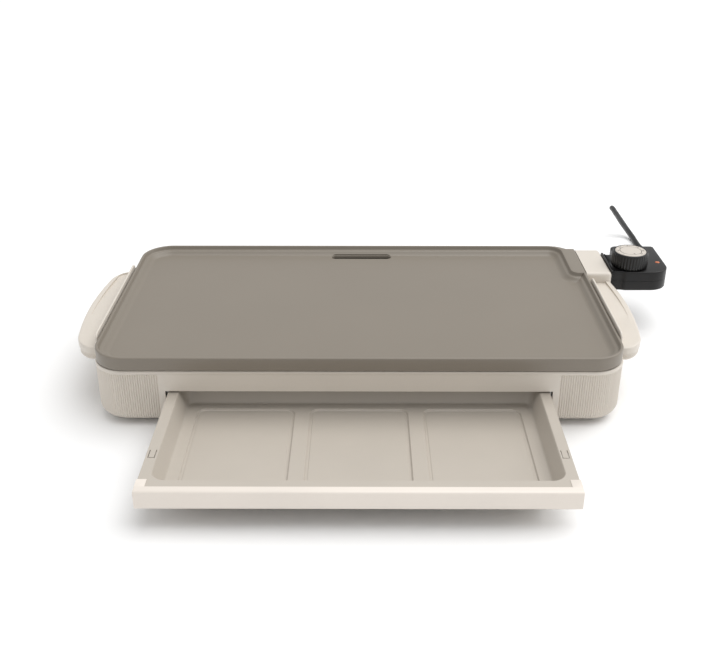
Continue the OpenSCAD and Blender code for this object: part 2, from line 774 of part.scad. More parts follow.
module probe_upper_shell() {
    color("#262525") difference() {
        union() {
            difference() {
                translate([0, 0, split_z]) linear_extrude(probe_top - split_z) probe_plan(0);
                translate([0, 0, split_z - 1]) linear_extrude(probe_top - shell_t - split_z + 1)
                    probe_plan(shell_t);
            }
            for (p = probe_screw_at) translate([p[0], p[1], split_z])
                cylinder(h = probe_top - split_z - 0.5, r = 4.2);
        }
        for (p = probe_screw_at) translate([p[0], p[1], split_z - 1]) cylinder(h = 9, r = 1.55);
        translate([knob_x, knob_y, split_z]) cylinder(h = 60, r = shaft_r + running);
        translate([lamp_x, lamp_y, split_z]) cylinder(h = 60, r = 3.1);
        probe_ports();
    }
}

module probe_flange() {
    z0 = probe_under + 3.7;
    color("#161616") difference() {
        translate([cover_x1 + 0.4, 0, 0]) rotate([90, 0, 90]) linear_extrude(2.2)
            outline(probe_y0, z0, probe_y0 + 66, rim_top - 0.3, [4, 4, 4, 4]);
        for (s = [-1, 1])
            rod_x(cover_x1 - 5, cover_x1 + 9, socket_y + s * pin_gap / 2, pin_z, sleeve_r + 0.1);
        rod_x(cover_x1 - 5, cover_x1 + 9, socket_y, rod_z, rod_r + 0.1);
    }
}

module contact_block() {
    x0 = probe_x0 + 4;
    color("#d9d3c6") difference() {
        box(x0, x0 + 10, socket_y - 19.6, socket_y + 19.6, probe_under + shell_t + 0.2,
            probe_top - shell_t - 0.3);
        for (s = [-1, 1])
            rod_x(x0 - 5, x0 + 15, socket_y + s * pin_gap / 2, pin_z, sleeve_r + 0.05);
        rod_x(x0 - 5, x0 + 15, socket_y, rod_z, rod_r + 0.05);
    }
}

module contact_sleeves() {
    x0 = base_x + 10;
    x1 = probe_x0 + 16;
    color("#c7b06a") for (s = [-1, 1]) difference() {
        rod_x(x0, x1, socket_y + s * pin_gap / 2, pin_z, sleeve_r);
        rod_x(x0 - 1, x1 - 8, socket_y + s * pin_gap / 2, pin_z, pin_r + running);
    }
}

module sensor_rod() {
    tip = base_x - 31;
    color("#d0d0ce") rod_x(tip, probe_x0 + 19, socket_y, rod_z, rod_r);
}

module thermostat_frame() {
    x0 = probe_x0 + 19;
    x1 = probe_x1 - 13;
    z0 = probe_under + shell_t + 0.1;
    z1 = probe_top - shell_t - 3.5;
    y0 = knob_y - 17;
    y1 = knob_y + 17;
    color("#b0b2b4") difference() {
        union() {
            box(x0, x1, y0, y1, z0, z0 + 1.2);
            box(x0, x1, y0, y0 + 1.2, z0, z1);
            box(x0, x1, y1 - 1.2, y1, z0, z1);
            box(knob_x - 6, knob_x + 6, y0, y1, z1 - 1.2, z1);
        }
        translate([knob_x, knob_y, table]) cylinder(h = 200, r = shaft_r + running);
    }
}

module bimetal_strip() {
    x0 = probe_x0 + 19.1;
    z0 = rod_z - 2.4;
    color("#a97a4c") box(x0, probe_x1 - 16, socket_y - 6.5, socket_y - 3.2, z0, z0 + 0.8);
    color("#a97a4c") box(x0, x0 + 1.9, socket_y - 6.5, socket_y + 2, z0, z0 + 0.8);
}

module contact_arms() {
    color("#c59a5a") for (s = [-1, 1])
        box(probe_x0 + 16.1, probe_x1 - 18, min(knob_y + s * 9, knob_y + s * 13),
            max(knob_y + s * 9, knob_y + s * 13), split_z, split_z + 0.6);
}

module contact_points() {
    color("#dcdcdc") for (s = [-1, 1])
        translate([probe_x1 - 21, knob_y + s * 11, split_z + 0.6]) cylinder(h = 1.4, r = 1.5);
}

module pilot_lamp() {
    color("#e8b080") translate([lamp_x, lamp_y, split_z - 4]) cylinder(h = 12, r = 2.5);
}

module lamp_lens() {
    color("#f07a1c") translate([lamp_x, lamp_y, split_z + 8.1]) {
        cylinder(h = probe_top - split_z - 8.1 + 0.6, r = 3);
    }
}

module probe_screws() {
    color("#3c3c3c") for (p = probe_screw_at) translate([p[0], p[1], probe_under + 0.4]) {
        cylinder(h = 2.2, r = 3);
        cylinder(h = split_z + 6 - probe_under, r = 1.5);
    }
}

module strain_relief() {
    color("#151515") translate([cord_x, 0, cord_z]) rotate([-90, 0, 0]) difference() {
        union() {
            translate([0, 0, probe_y1 - shell_t - 2.4]) cylinder(h = 2.2, r = 6.4);
            translate([0, 0, probe_y1 - shell_t - 1]) cylinder(h = shell_t + 1.4, r = 5.4);
            translate([0, 0, probe_y1 + 0.1]) cylinder(h = exit_y - probe_y1 - 0.2, r1 = 7, r2 = 5);
        }
        translate([0, 0, probe_y1 - 10]) cylinder(h = exit_y - probe_y1 + 9.9, r = cord_d / 2 - 0.5);
    }
}

module knob() {
    color("#141414") translate([knob_x, knob_y, knob_z]) difference() {
        union() {
            cylinder(h = knob_h, r = knob_d / 2 - 1);
            for (a = [0:10:350]) rotate([0, 0, a]) translate([knob_d / 2 - 1.2, 0, 1])
                cylinder(h = knob_h - 3, r = 1.2, $fn = 16);
        }
        translate([0, 0, -1]) cylinder(h = knob_h - 6, r = shaft_r + 0.01);
        translate([0, 0, knob_h - 1.5]) cylinder(h = 5, r = knob_d / 2 - dial_inset);
    }
}

module dial_disc() {
    color("#e5dfd2") translate([knob_x, knob_y, knob_z + knob_h - 1.5]) difference() {
        cylinder(h = 1.8, r = knob_d / 2 - dial_inset - 0.2);
        translate([0, 0, 1.4]) difference() {
            cylinder(h = 1, r = knob_d / 2 - dial_inset - 5.6);
            translate([0, 0, -1]) cylinder(h = 3, r = knob_d / 2 - dial_inset - 6.6);
        }
    }
}

module knob_shaft() {
    foot = probe_under + shell_t + 0.3;
    top = knob_z + knob_h - 7.2;
    color("#c9c9c4") translate([knob_x, knob_y, 0]) {
        translate([0, 0, foot]) cylinder(h = top - foot, r = shaft_r);
        translate([0, 0, split_z + 2.5]) cylinder(h = 2, r = 6.5);
    }
}

// ----------------------------------------------------------------- lead

function cross_of(a, b) = [a[1]*b[2] - a[2]*b[1], a[2]*b[0] - a[0]*b[2], a[0]*b[1] - a[1]*b[0]];
function side_of(t) = unit(cross_of(t, abs(t[0]) > 0.9 ? [0, 1, 0] : [1, 0, 0]));

// Points on a smooth curve through the given ones, with one more between each pair.
function halved(p) = [
    for (k = [0:len(p) - 2]) let (
        a = p[max(k - 1, 0)],
        b = p[k],
        c = p[k + 1],
        d = p[min(k + 2, len(p) - 1)]
    ) each [b, (9 * (b + c) - a - d) / 16],
    p[len(p) - 1]
];

function tangent(p, k) = unit(p[min(k + 1, len(p) - 1)] - p[max(k - 1, 0)]);

module lead(points, d, sides) {
    p = halved(points);
    n = len(p);
    rings = [
        for (k = [0:n - 1]) let (t = tangent(p, k), u = side_of(t), v = cross_of(t, u))
            for (j = [0:sides - 1]) p[k] + d / 2 * (cos(360 * j / sides) * u + sin(360 * j / sides) * v)
    ];
    skin = [
        for (k = [0:n - 2]) for (j = [0:sides - 1]) let (m = (j + 1) % sides)
            [k * sides + j, k * sides + m, (k + 1) * sides + m, (k + 1) * sides + j]
    ];
    ends = [[for (j = [sides - 1:-1:0]) j], [for (j = [0:sides - 1]) (n - 1) * sides + j]];
    polyhedron(rings, concat(skin, ends), 8);
}

module cord() { color("#171717") lead(cord_points, cord_d, 10); }
module cord_tail() { color("#171717") lead(tail_points, cord_d, 10); }

module cord_coil() {
    color("#1b1b1b") translate([coil_x, coil_y, table]) rotate_extrude()
        translate([coil_r - cord_d / 2 - 0.2, 0]) square([cord_d + 0.4, coil_h]);
}

module cord_tie() {
    inner = cord_d / 2 + 0.25;
    color("#2a2a2a") translate([coil_x, coil_y + coil_r, table]) difference() {
        box(-3, 3, -inner - 1.2, inner + 1.2, 0, coil_h + 1.3);
        box(-4, 4, -inner, inner, -1, coil_h + 0.1);
    }
}

module plug_body() {
    color("#191919") translate(plug_end) rotate([0, -90, 0]) {
        cylinder(h = 12, r1 = 5, r2 = 7);
        translate([0, 0, 11.9]) linear_extrude(plug_l - 11.9) rounded(18, 26, 6);
    }
}

module plug_blades() {
    x1 = plug_end[0] - plug_l;
    color("#cfc9b8") for (s = [-1, 1])
        box(x1 - 17.5, x1, plug_end[1] + s * 6.35 - 0.75, plug_end[1] + s * 6.35 + 0.75,
            plug_end[2] - 3.15, plug_end[2] + 3.15);
}

base_shell();
base_floor();
left_handle_cap();
right_handle_cap();
socket_cover();
left_drawer_rail();
right_drawer_rail();
rail_screws();
grease_guides();
grease_chute();
heat_reflector();
element_brackets();
heating_element();
terminal_block();
terminal_pins();
plate_pads();
feet();
floor_screws();
reflector_screws();
cover_screws();
cooking_plate();
drawer_tray();
drawer_front();
drawer_screws();
grease_tray();
probe_lower_shell();
probe_upper_shell();
probe_flange();
contact_block();
contact_sleeves();
sensor_rod();
thermostat_frame();
bimetal_strip();
contact_arms();
contact_points();
pilot_lamp();
lamp_lens();
probe_screws();
strain_relief();
knob();
dial_disc();
knob_shaft();
cord();
cord_coil();
cord_tail();
cord_tie();
plug_body();
plug_blades();
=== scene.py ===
import math

import bmesh
import bpy
from mathutils import Matrix, Vector


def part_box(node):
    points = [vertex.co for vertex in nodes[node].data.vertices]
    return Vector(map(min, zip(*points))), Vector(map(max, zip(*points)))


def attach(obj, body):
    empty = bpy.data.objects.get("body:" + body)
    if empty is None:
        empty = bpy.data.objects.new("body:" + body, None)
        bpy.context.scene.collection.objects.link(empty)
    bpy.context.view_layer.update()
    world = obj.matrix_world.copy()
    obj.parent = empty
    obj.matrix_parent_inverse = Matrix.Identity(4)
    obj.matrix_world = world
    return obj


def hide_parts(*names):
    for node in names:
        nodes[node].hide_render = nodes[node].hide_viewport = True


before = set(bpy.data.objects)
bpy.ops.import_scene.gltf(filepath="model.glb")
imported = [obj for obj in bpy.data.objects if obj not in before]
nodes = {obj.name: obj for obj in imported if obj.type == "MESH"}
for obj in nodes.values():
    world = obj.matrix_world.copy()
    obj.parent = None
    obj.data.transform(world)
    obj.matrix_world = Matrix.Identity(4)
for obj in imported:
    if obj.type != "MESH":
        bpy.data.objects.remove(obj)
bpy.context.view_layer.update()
scene = bpy.context.scene

# ---------------- camera
# It stands in front of the drawer, a little over a metre away, and looks down
# on the plate at about 26 degrees.
camera = bpy.data.objects.new("camera", bpy.data.cameras.new("camera"))
camera.data.lens = 48.46
camera.data.sensor_width = 36
camera.location = (0.00333, -1.07906, 0.50462)
camera.rotation_euler = (math.radians(90 - 26.49), 0, 0.003)
scene.collection.objects.link(camera)
scene.camera = camera


# ---------------- mains lead
# A round two-core lead in black PVC, 8 mm thick. It leaves the probe to the rear, falls to the
# table, comes home beneath itself and is wound into a coil behind the base.
def srgb(red, green, blue):
    """A colour given as a screen shows it, turned into the light it gives off."""
    return tuple((c / 255) ** 2.2 for c in (red, green, blue)) + (1,)


def node_of(material, kind, **inputs):
    """One shader node with its sockets set."""
    node = material.node_tree.nodes.new("ShaderNode" + kind)
    for socket, value in inputs.items():
        node.inputs[socket.replace("_", " ")].default_value = value
    return node


def tune(material, **inputs):
    """Sets the shader's own sockets."""
    for socket, value in inputs.items():
        material.node_tree.nodes["Principled BSDF"].inputs[socket.replace("_", " ")].default_value = value


def surface(name, colour, rough, tint=0.05, drift=45, grain=1.2, depth=0.03, gloss_drift=0.08,
            speck=0.0, metal=0.0, stretch=(1, 1, 1), coat=0.0):
    """A finish with slow colour drift, a fine moulded or cast grain and an uneven gloss.
    drift and grain are the sizes of the two patterns and depth is the grain's height, in millimetres."""
    material = bpy.data.materials.new(name)
    material.use_nodes = True
    link = material.node_tree.links.new
    shader = material.node_tree.nodes["Principled BSDF"]
    tune(material, Metallic=metal, Coat_Weight=coat, Coat_Roughness=0.25)
    place = node_of(material, "TexCoord")
    turn = node_of(material, "Mapping", Scale=stretch)
    link(place.outputs["Object"], turn.inputs["Vector"])

    slow = node_of(material, "TexNoise", Scale=1000 / drift, Detail=4.0, Roughness=0.55)
    link(place.outputs["Object"], slow.inputs["Vector"])
    ramp = node_of(material, "ValToRGB")
    ramp.color_ramp.elements[0].position = 0.3
    ramp.color_ramp.elements[1].position = 0.7
    ramp.color_ramp.elements[0].color = tuple(c * (1 - tint) for c in colour[:3]) + (1,)
    ramp.color_ramp.elements[1].color = tuple(min(1, c * (1 + tint)) for c in colour[:3]) + (1,)
    link(slow.outputs["Fac"], ramp.inputs["Fac"])

    fine = node_of(material, "TexNoise", Scale=1000 / grain, Detail=3.0, Roughness=0.6)
    link(turn.outputs["Vector"], fine.inputs["Vector"])
    spots = node_of(material, "ValToRGB")
    spots.color_ramp.elements[0].position = 0.42
    spots.color_ramp.elements[0].color = (1 - speck, 1 - speck, 1 - speck, 1)
    spots.color_ramp.elements[1].position = 0.58
    link(fine.outputs["Fac"], spots.inputs["Fac"])
    blend = material.node_tree.nodes.new("ShaderNodeMix")
    blend.data_type = "RGBA"
    blend.blend_type = "MULTIPLY"
    blend.inputs["Factor"].default_value = 1.0
    link(ramp.outputs["Color"], blend.inputs["A"])
    link(spots.outputs["Color"], blend.inputs["B"])
    link(blend.outputs["Result"], shader.inputs["Base Color"])

    sheen = node_of(material, "MapRange")
    sheen.inputs["To Min"].default_value = max(0.02, rough - gloss_drift)
    sheen.inputs["To Max"].default_value = min(1, rough + gloss_drift)
    link(slow.outputs["Fac"], sheen.inputs["Value"])
    link(sheen.outputs["Result"], shader.inputs["Roughness"])
    bump = node_of(material, "Bump", Strength=0.6, Distance=depth / 1000)
    link(fine.outputs["Fac"], bump.inputs["Height"])
    link(bump.outputs["Normal"], shader.inputs["Normal"])
    return material


lead_black = surface("lead_black", srgb(26, 26, 27), 0.42, tint=0.15, drift=25, grain=0.9, depth=0.02)
lead_d = 8.0
lead_route = [
    (394, 192, -5), (394, 212, -5), (395, 235, -5.5), (396, 260, -7), (398, 290, -10),
    (400, 320, -13), (403, 350, -16.5), (405, 376, -19), (407, 400, -21), (409, 416, -24.5),
    (417, 429, -34), (427, 433, -47), (437, 429, -60), (444, 416, -69.5), (447, 400, -73),
    (447, 377, -73), (447, 353, -73), (442, 328, -73), (430, 306, -73), (412, 291, -73), (394, 284, -73),
    (376, 282, -73), (360, 278, -73), (348, 266, -73)
]
coil_middle = Vector((300, 250, -73))
coil_r = 44.0
coil_steps = 16
coil_turns = 2.25
lead_tail = [(286, 206, -55.5), (270, 205, -58.5), (254, 205, -63.5), (238, 206, -67), (223.6, 207, -68)]


def coil_point(step):
    """Each turn lies flat, then climbs onto the one below in its last quarter."""
    turns = step / coil_steps
    climb = min(1, max(0, (turns % 1 - 0.72) / 0.28))
    if turns >= 2:
        climb = 0.22 * (turns - 2) / 0.25
    lift = 8.1 * (math.floor(turns) + climb * climb * (3 - 2 * climb) if turns < 2 else 2 + climb)
    turn = Matrix.Rotation(-2 * math.pi * turns, 4, "Z")
    return coil_middle + turn @ Vector((coil_r, 0, 0)) + Vector((0, 0, lift))


lead_points = [Vector(p) for p in lead_route]
lead_points += [coil_point(k) for k in range(int(coil_steps * coil_turns) + 1)]
lead_points += [Vector(p) for p in lead_tail]
lead_curve = bpy.data.curves.new("mains_lead", "CURVE")
lead_curve.dimensions = "3D"
lead_curve.bevel_depth = lead_d / 2000
lead_curve.bevel_resolution = 5
lead_curve.resolution_u = 5
lead_curve.use_fill_caps = True
lead_line = lead_curve.splines.new("BEZIER")
lead_line.bezier_points.add(len(lead_points) - 1)
for point, place in zip(lead_line.bezier_points, lead_points):
    point.co = place / 1000
    point.handle_left_type = "AUTO"
    point.handle_right_type = "AUTO"
lead_curve.materials.append(lead_black)
mains_lead = bpy.data.objects.new("mains_lead", lead_curve)
scene.collection.objects.link(mains_lead)
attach(mains_lead, "probe")
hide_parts("cord", "cord_coil", "cord_tail")


# ---------------- plug, tie and strain relief
# The plug is a black moulding with two flat blades, ribbed where it is gripped. Its lathed nose
# carries the lead, and the blades stay as packed.
def smooth(made, crease=32):
    """Smooth shading, with an edge kept wherever two faces meet more sharply than crease degrees."""
    made.data.polygons.foreach_set("use_smooth", [True] * len(made.data.polygons))
    made.data.set_sharp_from_angle(angle=math.radians(crease))
    made.data.update()


def piece(name, shape, *finishes, body="base", slot=None, stands_for=(), crease=32):
    """Closes a shape drawn in millimetres into an object of the frame, in metres."""
    bmesh.ops.remove_doubles(shape, verts=shape.verts, dist=0.004)
    bmesh.ops.recalc_face_normals(shape, faces=shape.faces)
    bmesh.ops.scale(shape, vec=(0.001, 0.001, 0.001), verts=shape.verts)
    mesh = bpy.data.meshes.new(name)
    shape.to_mesh(mesh)
    shape.free()
    for finish in finishes:
        mesh.materials.append(finish)
    made = bpy.data.objects.new(name, mesh)
    scene.collection.objects.link(made)
    smooth(made, crease)
    if body:
        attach(made, body)
        if stands_for:
            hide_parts(*stands_for)
    return made


def place_of(name):
    """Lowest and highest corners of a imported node, in millimetres."""
    low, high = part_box(name)
    return low * 1000, high * 1000


UP = Vector((0, 0, 1))


def lathe(shape, profile, axis, centre, steps=48):
    """Turns (radius, distance along the axis) steps into a round shape about X, Y or Z."""
    side = UP if axis.z == 0 else Vector((1, 0, 0))
    verts = [shape.verts.new(centre + axis * along + side * max(radius, 0.001)) for radius, along in profile]
    edges = [shape.edges.new(pair) for pair in zip(verts, verts[1:])]
    bmesh.ops.spin(shape, geom=verts + edges, cent=centre, axis=axis, angle=2 * math.pi,
                   steps=steps, use_merge=True)
    bmesh.ops.remove_doubles(shape, verts=shape.verts, dist=0.01)


def rounded(shape, edges, offset, steps):
    bmesh.ops.bevel(shape, geom=edges, offset=offset, segments=steps, profile=0.5, affect="EDGES", material=-1)


def block(shape, x0, x1, y0, y1, z0, z1, round_by=0.0, steps=2, pick=None):
    """A box from corner to corner; pick chooses the edges that are rounded, all of them if left out."""
    made = bmesh.ops.create_cube(shape, size=1)["verts"]
    bmesh.ops.scale(shape, vec=(x1 - x0, y1 - y0, z1 - z0), verts=made)
    bmesh.ops.translate(shape, vec=((x0 + x1) / 2, (y0 + y1) / 2, (z0 + z1) / 2), verts=made)
    if round_by:
        edges = {e for v in made for e in v.link_edges}
        rounded(shape, [e for e in edges if pick is None or pick(e)], round_by, steps)


def middle(edge):
    return (edge.verts[0].co + edge.verts[1].co) / 2


plug_low, plug_high = place_of("plug_body")
plug_mid = (plug_low + plug_high) / 2
plug_shape = bmesh.new()
nose_l, plug_half_w, plug_half_h = 12.0, 13.0, 9.0
block(plug_shape, plug_low.x, plug_high.x - nose_l, plug_mid.y - plug_half_w, plug_mid.y + plug_half_w,
      plug_mid.z - plug_half_h, plug_mid.z + plug_half_h, round_by=4.5, steps=5,
      pick=lambda e: abs(middle(e).x - plug_mid.x) > 1 or abs(middle(e).y - plug_mid.y) > plug_half_w - 1)
lathe(plug_shape, [(0, 0), (8.2, 0), (7.4, 5), (6.1, 5.4), (6.1, 6.6), (6.6, 7), (6.6, 8.4), (5.6, 8.8),
                   (5.6, 10), (6, 10.4), (5.4, 12), (0, 12)], Vector((1, 0, 0)),
      Vector((plug_high.x - 12.2, plug_mid.y, plug_mid.z)))
for rib in range(5):
    rib_x = plug_low.x + 5 + 3.2 * rib
    for side in (-1, 1):
        block(plug_shape, rib_x, rib_x + 1.6, plug_mid.y + side * 12.6, plug_mid.y + side * 13.3,
              plug_mid.z - 5.5, plug_mid.z + 5.5, round_by=0.3)
mains_plug = piece("mains_plug", plug_shape, lead_black, body="probe", slot="lead_black", stands_for=["plug_body"])

# A black PVC strap holds the coil's turns together at their rear.
tie_low, tie_high = place_of("cord_tie")
tie_shape = bmesh.new()
block(tie_shape, tie_low.x, tie_high.x, tie_low.y, tie_high.y, tie_low.z + 0.2, tie_high.z, round_by=2.6, steps=4,
      pick=lambda e: abs(middle(e).x - (tie_low.x + tie_high.x) / 2) < 1)
ends = [f for f in tie_shape.faces if abs(f.normal.x) > 0.9]
bmesh.ops.delete(tie_shape, geom=ends, context="FACES_ONLY")
bmesh.ops.solidify(tie_shape, geom=tie_shape.faces, thickness=0.9)
lead_tie = piece("lead_tie", tie_shape, lead_black, body="probe", slot="lead_black", stands_for=["cord_tie"])

# The strain relief is a tapered black sleeve moulded onto the lead, with four flexing rings.
relief_low, relief_high = place_of("strain_relief")
relief_shape = bmesh.new()
relief_r = 7.0
relief_root = 167.6
relief_profile = [(0, -4), (5.4, -4), (5.4, 0), (relief_r, 0.1), (relief_r, 2.0)]
for ring_at in range(4):
    start = 3.0 + 5.0 * ring_at
    radius = relief_r - 0.42 * (ring_at + 1)
    relief_profile += [(radius, start), (radius - 0.9, start + 0.7), (radius - 0.9, start + 2.0),
                       (radius - 0.25, start + 2.7)]
relief_profile += [(5.1, 23.2), (4.7, relief_high.y - relief_root), (0, relief_high.y - relief_root)]
lathe(relief_shape, relief_profile, Vector((0, 1, 0)), Vector((lead_route[0][0], relief_root, lead_route[0][2])))
relief = piece("strain_relief_sleeve", relief_shape, lead_black, body="probe", slot="lead_black",
               stands_for=["strain_relief"], crease=40)


# ---------------- base tub
# The tub is one cream moulding, 3 mm thick. A smooth bead runs round its top edge and fine upright
# ribs cover its corners and ends; the front between them is plain, with the drawer's opening.
def ring(shape, cx, cy, r, z, steps=12):
    """A rounded rectangle of vertices: a circle whose quarters move out to the corner centres."""
    turn = Matrix.Rotation(math.pi / (4 * steps), 4, "Z")
    verts = bmesh.ops.create_circle(shape, cap_ends=False, radius=r, segments=4 * steps, matrix=turn)["verts"]
    for v in verts:
        v.co.x += math.copysign(cx, v.co.x)
        v.co.y += math.copysign(cy, v.co.y)
        v.co.z = z
    return list({e for v in verts for e in v.link_edges})


def carry(shape, edges, cx, cy, profile):
    """Extrudes a ring through (radius, height) steps. Each point moves straight out from its corner centre."""
    for r, z in profile:
        made = bmesh.ops.extrude_edge_only(shape, edges=edges)["geom"]
        verts = {g for g in made if isinstance(g, bmesh.types.BMVert)}
        edges = list({e for v in verts for e in v.link_edges if e.other_vert(v) in verts})
        for v in verts:
            centre = Vector((max(-cx, min(cx, v.co.x)), max(-cy, min(cy, v.co.y)), 0))
            out = Vector((v.co.x, v.co.y, 0)) - centre
            v.co = centre + out.normalized() * r + Vector((0, 0, z))
    return edges


def rounded_block(shape, cx, cy, profile, steps=12):
    """A closed block whose outline is a rounded rectangle all the way up."""
    first = ring(shape, cx, cy, *profile[0], steps=steps)
    last = carry(shape, first, cx, cy, profile[1:])
    bmesh.ops.edgeloop_fill(shape, edges=first)
    bmesh.ops.edgeloop_fill(shape, edges=last)


rib_pitch = 2.6
rib_depth = 1.0


def rib_wave(distance):
    return -rib_depth * (0.5 - 0.5 * math.cos(2 * math.pi * distance / rib_pitch)) ** 1.5


def densify(shape, spacing, wanted):
    """Cuts the long edges that are wanted into pieces of about the given spacing."""
    for edge in [e for e in shape.edges if wanted(middle(e)) and e.calc_length() > 1.5 * spacing]:
        cuts = int(edge.calc_length() / spacing)
        bmesh.ops.subdivide_edges(shape, edges=[edge], cuts=cuts)


cream = surface("cream_moulding", srgb(214, 206, 195), 0.42, tint=0.02, drift=90, grain=0.55, depth=0.018,
                gloss_drift=0.06, speck=0.02, coat=0.12)
shell_low, shell_high = place_of("base_shell")
floor_low, floor_high = place_of("base_floor")
base_x, base_y, base_r, wall = 294.0, 162.0, 37.0, 3.0
inner_x, inner_y = base_x - base_r, base_y - base_r
under, edge_r, base_top = shell_low.z, 13.0, -7.0
plain_x = 219.0
bay_x, bay_under, bay_top = 212.6, -61.0, -31.9
grease_hole = (-62.0, 66.0, -63.5, -37.0)
notch_y = (76.0, 124.0)
rib_low, rib_high = -70.0, -11.0


def rib_place(v):
    """Distance round the tub from the edge of its plain front or back."""
    x, y = abs(v.co.x), v.co.y
    quarter = base_r * math.pi / 2
    front = inner_x - plain_x
    if abs(y) <= inner_y:
        return front + quarter + y + inner_y
    if x <= inner_x:
        return x - plain_x if y < 0 else front + 2 * quarter + 2 * inner_y + inner_x - x
    angle = math.atan2(abs(y) - inner_y, x - inner_x)
    if y < 0:
        return front + base_r * (math.pi / 2 - angle)
    return front + quarter + 2 * inner_y + base_r * angle


tub = bmesh.new()
wall_edges = ring(tub, inner_x, inner_y, 12, under, steps=96)
for x in (-plain_x, -bay_x, grease_hole[0], grease_hole[1], bay_x, plain_x):
    bmesh.ops.bisect_plane(tub, geom=tub.verts[:] + tub.edges[:], plane_co=(x, 0, 0), plane_no=(1, 0, 0))
for y in notch_y:
    bmesh.ops.bisect_plane(tub, geom=tub.verts[:] + tub.edges[:], plane_co=(0, y, 0), plane_no=(0, 1, 0))
densify(tub, 0.42, lambda m: abs(m.x) > plain_x)
fillet = [12, 25, 38, 50, 60, 69.75, 81.15, 90]
outer = [(base_r - edge_r + edge_r * math.sin(math.radians(a)), under + edge_r - edge_r * math.cos(math.radians(a)))
         for a in fillet]
outer = [(base_r - edge_r, under)] + outer
outer += [(base_r, z) for z in (-48, grease_hole[3], bay_top, -22, -13, -12.2, -11.4)]
outer += [(base_r + 0.25, -10.9), (base_r + 0.5, -10.2), (base_r + 0.55, -9.0), (base_r + 0.35, -7.9),
          (base_r - 0.1, -7.2), (base_r - 0.8, base_top), (base_r - wall, base_top)]
inside = [(base_r - wall, z) for z in (-13, bay_top, grease_hole[3], under + edge_r)]
inside += [(33.8, bay_under), (32.93, grease_hole[2]), (30, -67.2), (base_r - edge_r, under + wall),
           (12, under + wall)]
last_edges = carry(tub, list(tub.edges), inner_x, inner_y, outer + inside)
bmesh.ops.remove_doubles(tub, verts=tub.verts, dist=0.001)
open_edges = [e for e in tub.edges if e.is_boundary]
bmesh.ops.bridge_loops(tub, edges=open_edges)


def opening(shape, inside_it):
    """Takes out the faces of both walls where inside_it says so, and gives the cut edges."""
    gone = [f for f in shape.faces if inside_it(f.calc_center_median())]
    bmesh.ops.delete(shape, geom=gone, context="FACES")
    return [e for e in shape.edges if e.is_boundary]


drawer_edge = opening(tub, lambda c: c.y < -150 and abs(c.x) < bay_x and bay_under < c.z < bay_top)
bmesh.ops.bridge_loops(tub, edges=drawer_edge)
grease_edge = opening(tub, lambda c: c.y > 150 and grease_hole[0] < c.x < grease_hole[1]
                      and grease_hole[2] < c.z < grease_hole[3])
bmesh.ops.bridge_loops(tub, edges=grease_edge)
notch_edge = opening(tub, lambda c: c.x > 280 and notch_y[0] < c.y < notch_y[1] and c.z > -13)
level = [e for e in notch_edge if abs(middle(e).z + 13) < 0.01]
bmesh.ops.bridge_loops(tub, edges=level)
bmesh.ops.holes_fill(tub, edges=[e for e in tub.edges if e.is_boundary], sides=0)

for v in tub.verts:
    centre = Vector((max(-inner_x, min(inner_x, v.co.x)), max(-inner_y, min(inner_y, v.co.y)), v.co.z))
    out = v.co - centre
    if out.length > base_r - 9.5 and abs(v.co.x) > plain_x - 0.01 and rib_low < v.co.z < rib_high:
        on_face = out.length > base_r - wall + 0.6 or v.co.z < -60 and out.length > 26
        if on_face:
            fade = min(1, (rib_high - v.co.z) / 1.2, (v.co.z - rib_low + 0.5) / 3)
            v.co += out.normalized() * rib_wave(rib_place(v)) * fade
piece("base_tub", tub, cream, slot="cream_plastic", stands_for=["base_shell"], crease=38)


# ---------------- handles
# Each end has a solid wing that serves as a handle. Its top is part of the tub, and a ribbed cap
# closes it from below; a thin guard along its root keeps fingers off the hot plate.
handle_y, handle_half, handle_reach, handle_r = -7.0, 109.0, 330.0, 28.0
handle_arc = 509.0
cover_low, cover_high = place_of("socket_cover")


def move(shape, way):
    bmesh.ops.translate(shape, vec=way, verts=shape.verts)


def carry_open(shape, edges, cx, cy, rear, profile):
    """As carry, but the straight cuts at the tub and at the rear stay where they are."""
    for r, z in profile:
        made = bmesh.ops.extrude_edge_only(shape, edges=edges)["geom"]
        verts = {g for g in made if isinstance(g, bmesh.types.BMVert)}
        edges = list({e for v in verts for e in v.link_edges if e.other_vert(v) in verts})
        for v in verts:
            centre = Vector((min(cx, v.co.x), max(-cy, min(cy, v.co.y)), 0))
            out = Vector((v.co.x, v.co.y, 0)) - centre
            if abs(v.co.y - rear) < 0.01 and rear < cy + 1:
                out = Vector((1, 0, 0)) if v.co.x > cx else Vector()
            if v.co.x < base_x - 2 and out.x == 0 and abs(out.y) < 5:
                out = Vector()
            if out.length:
                v.co = centre + out.normalized() * r
            v.co.z = z
    return edges


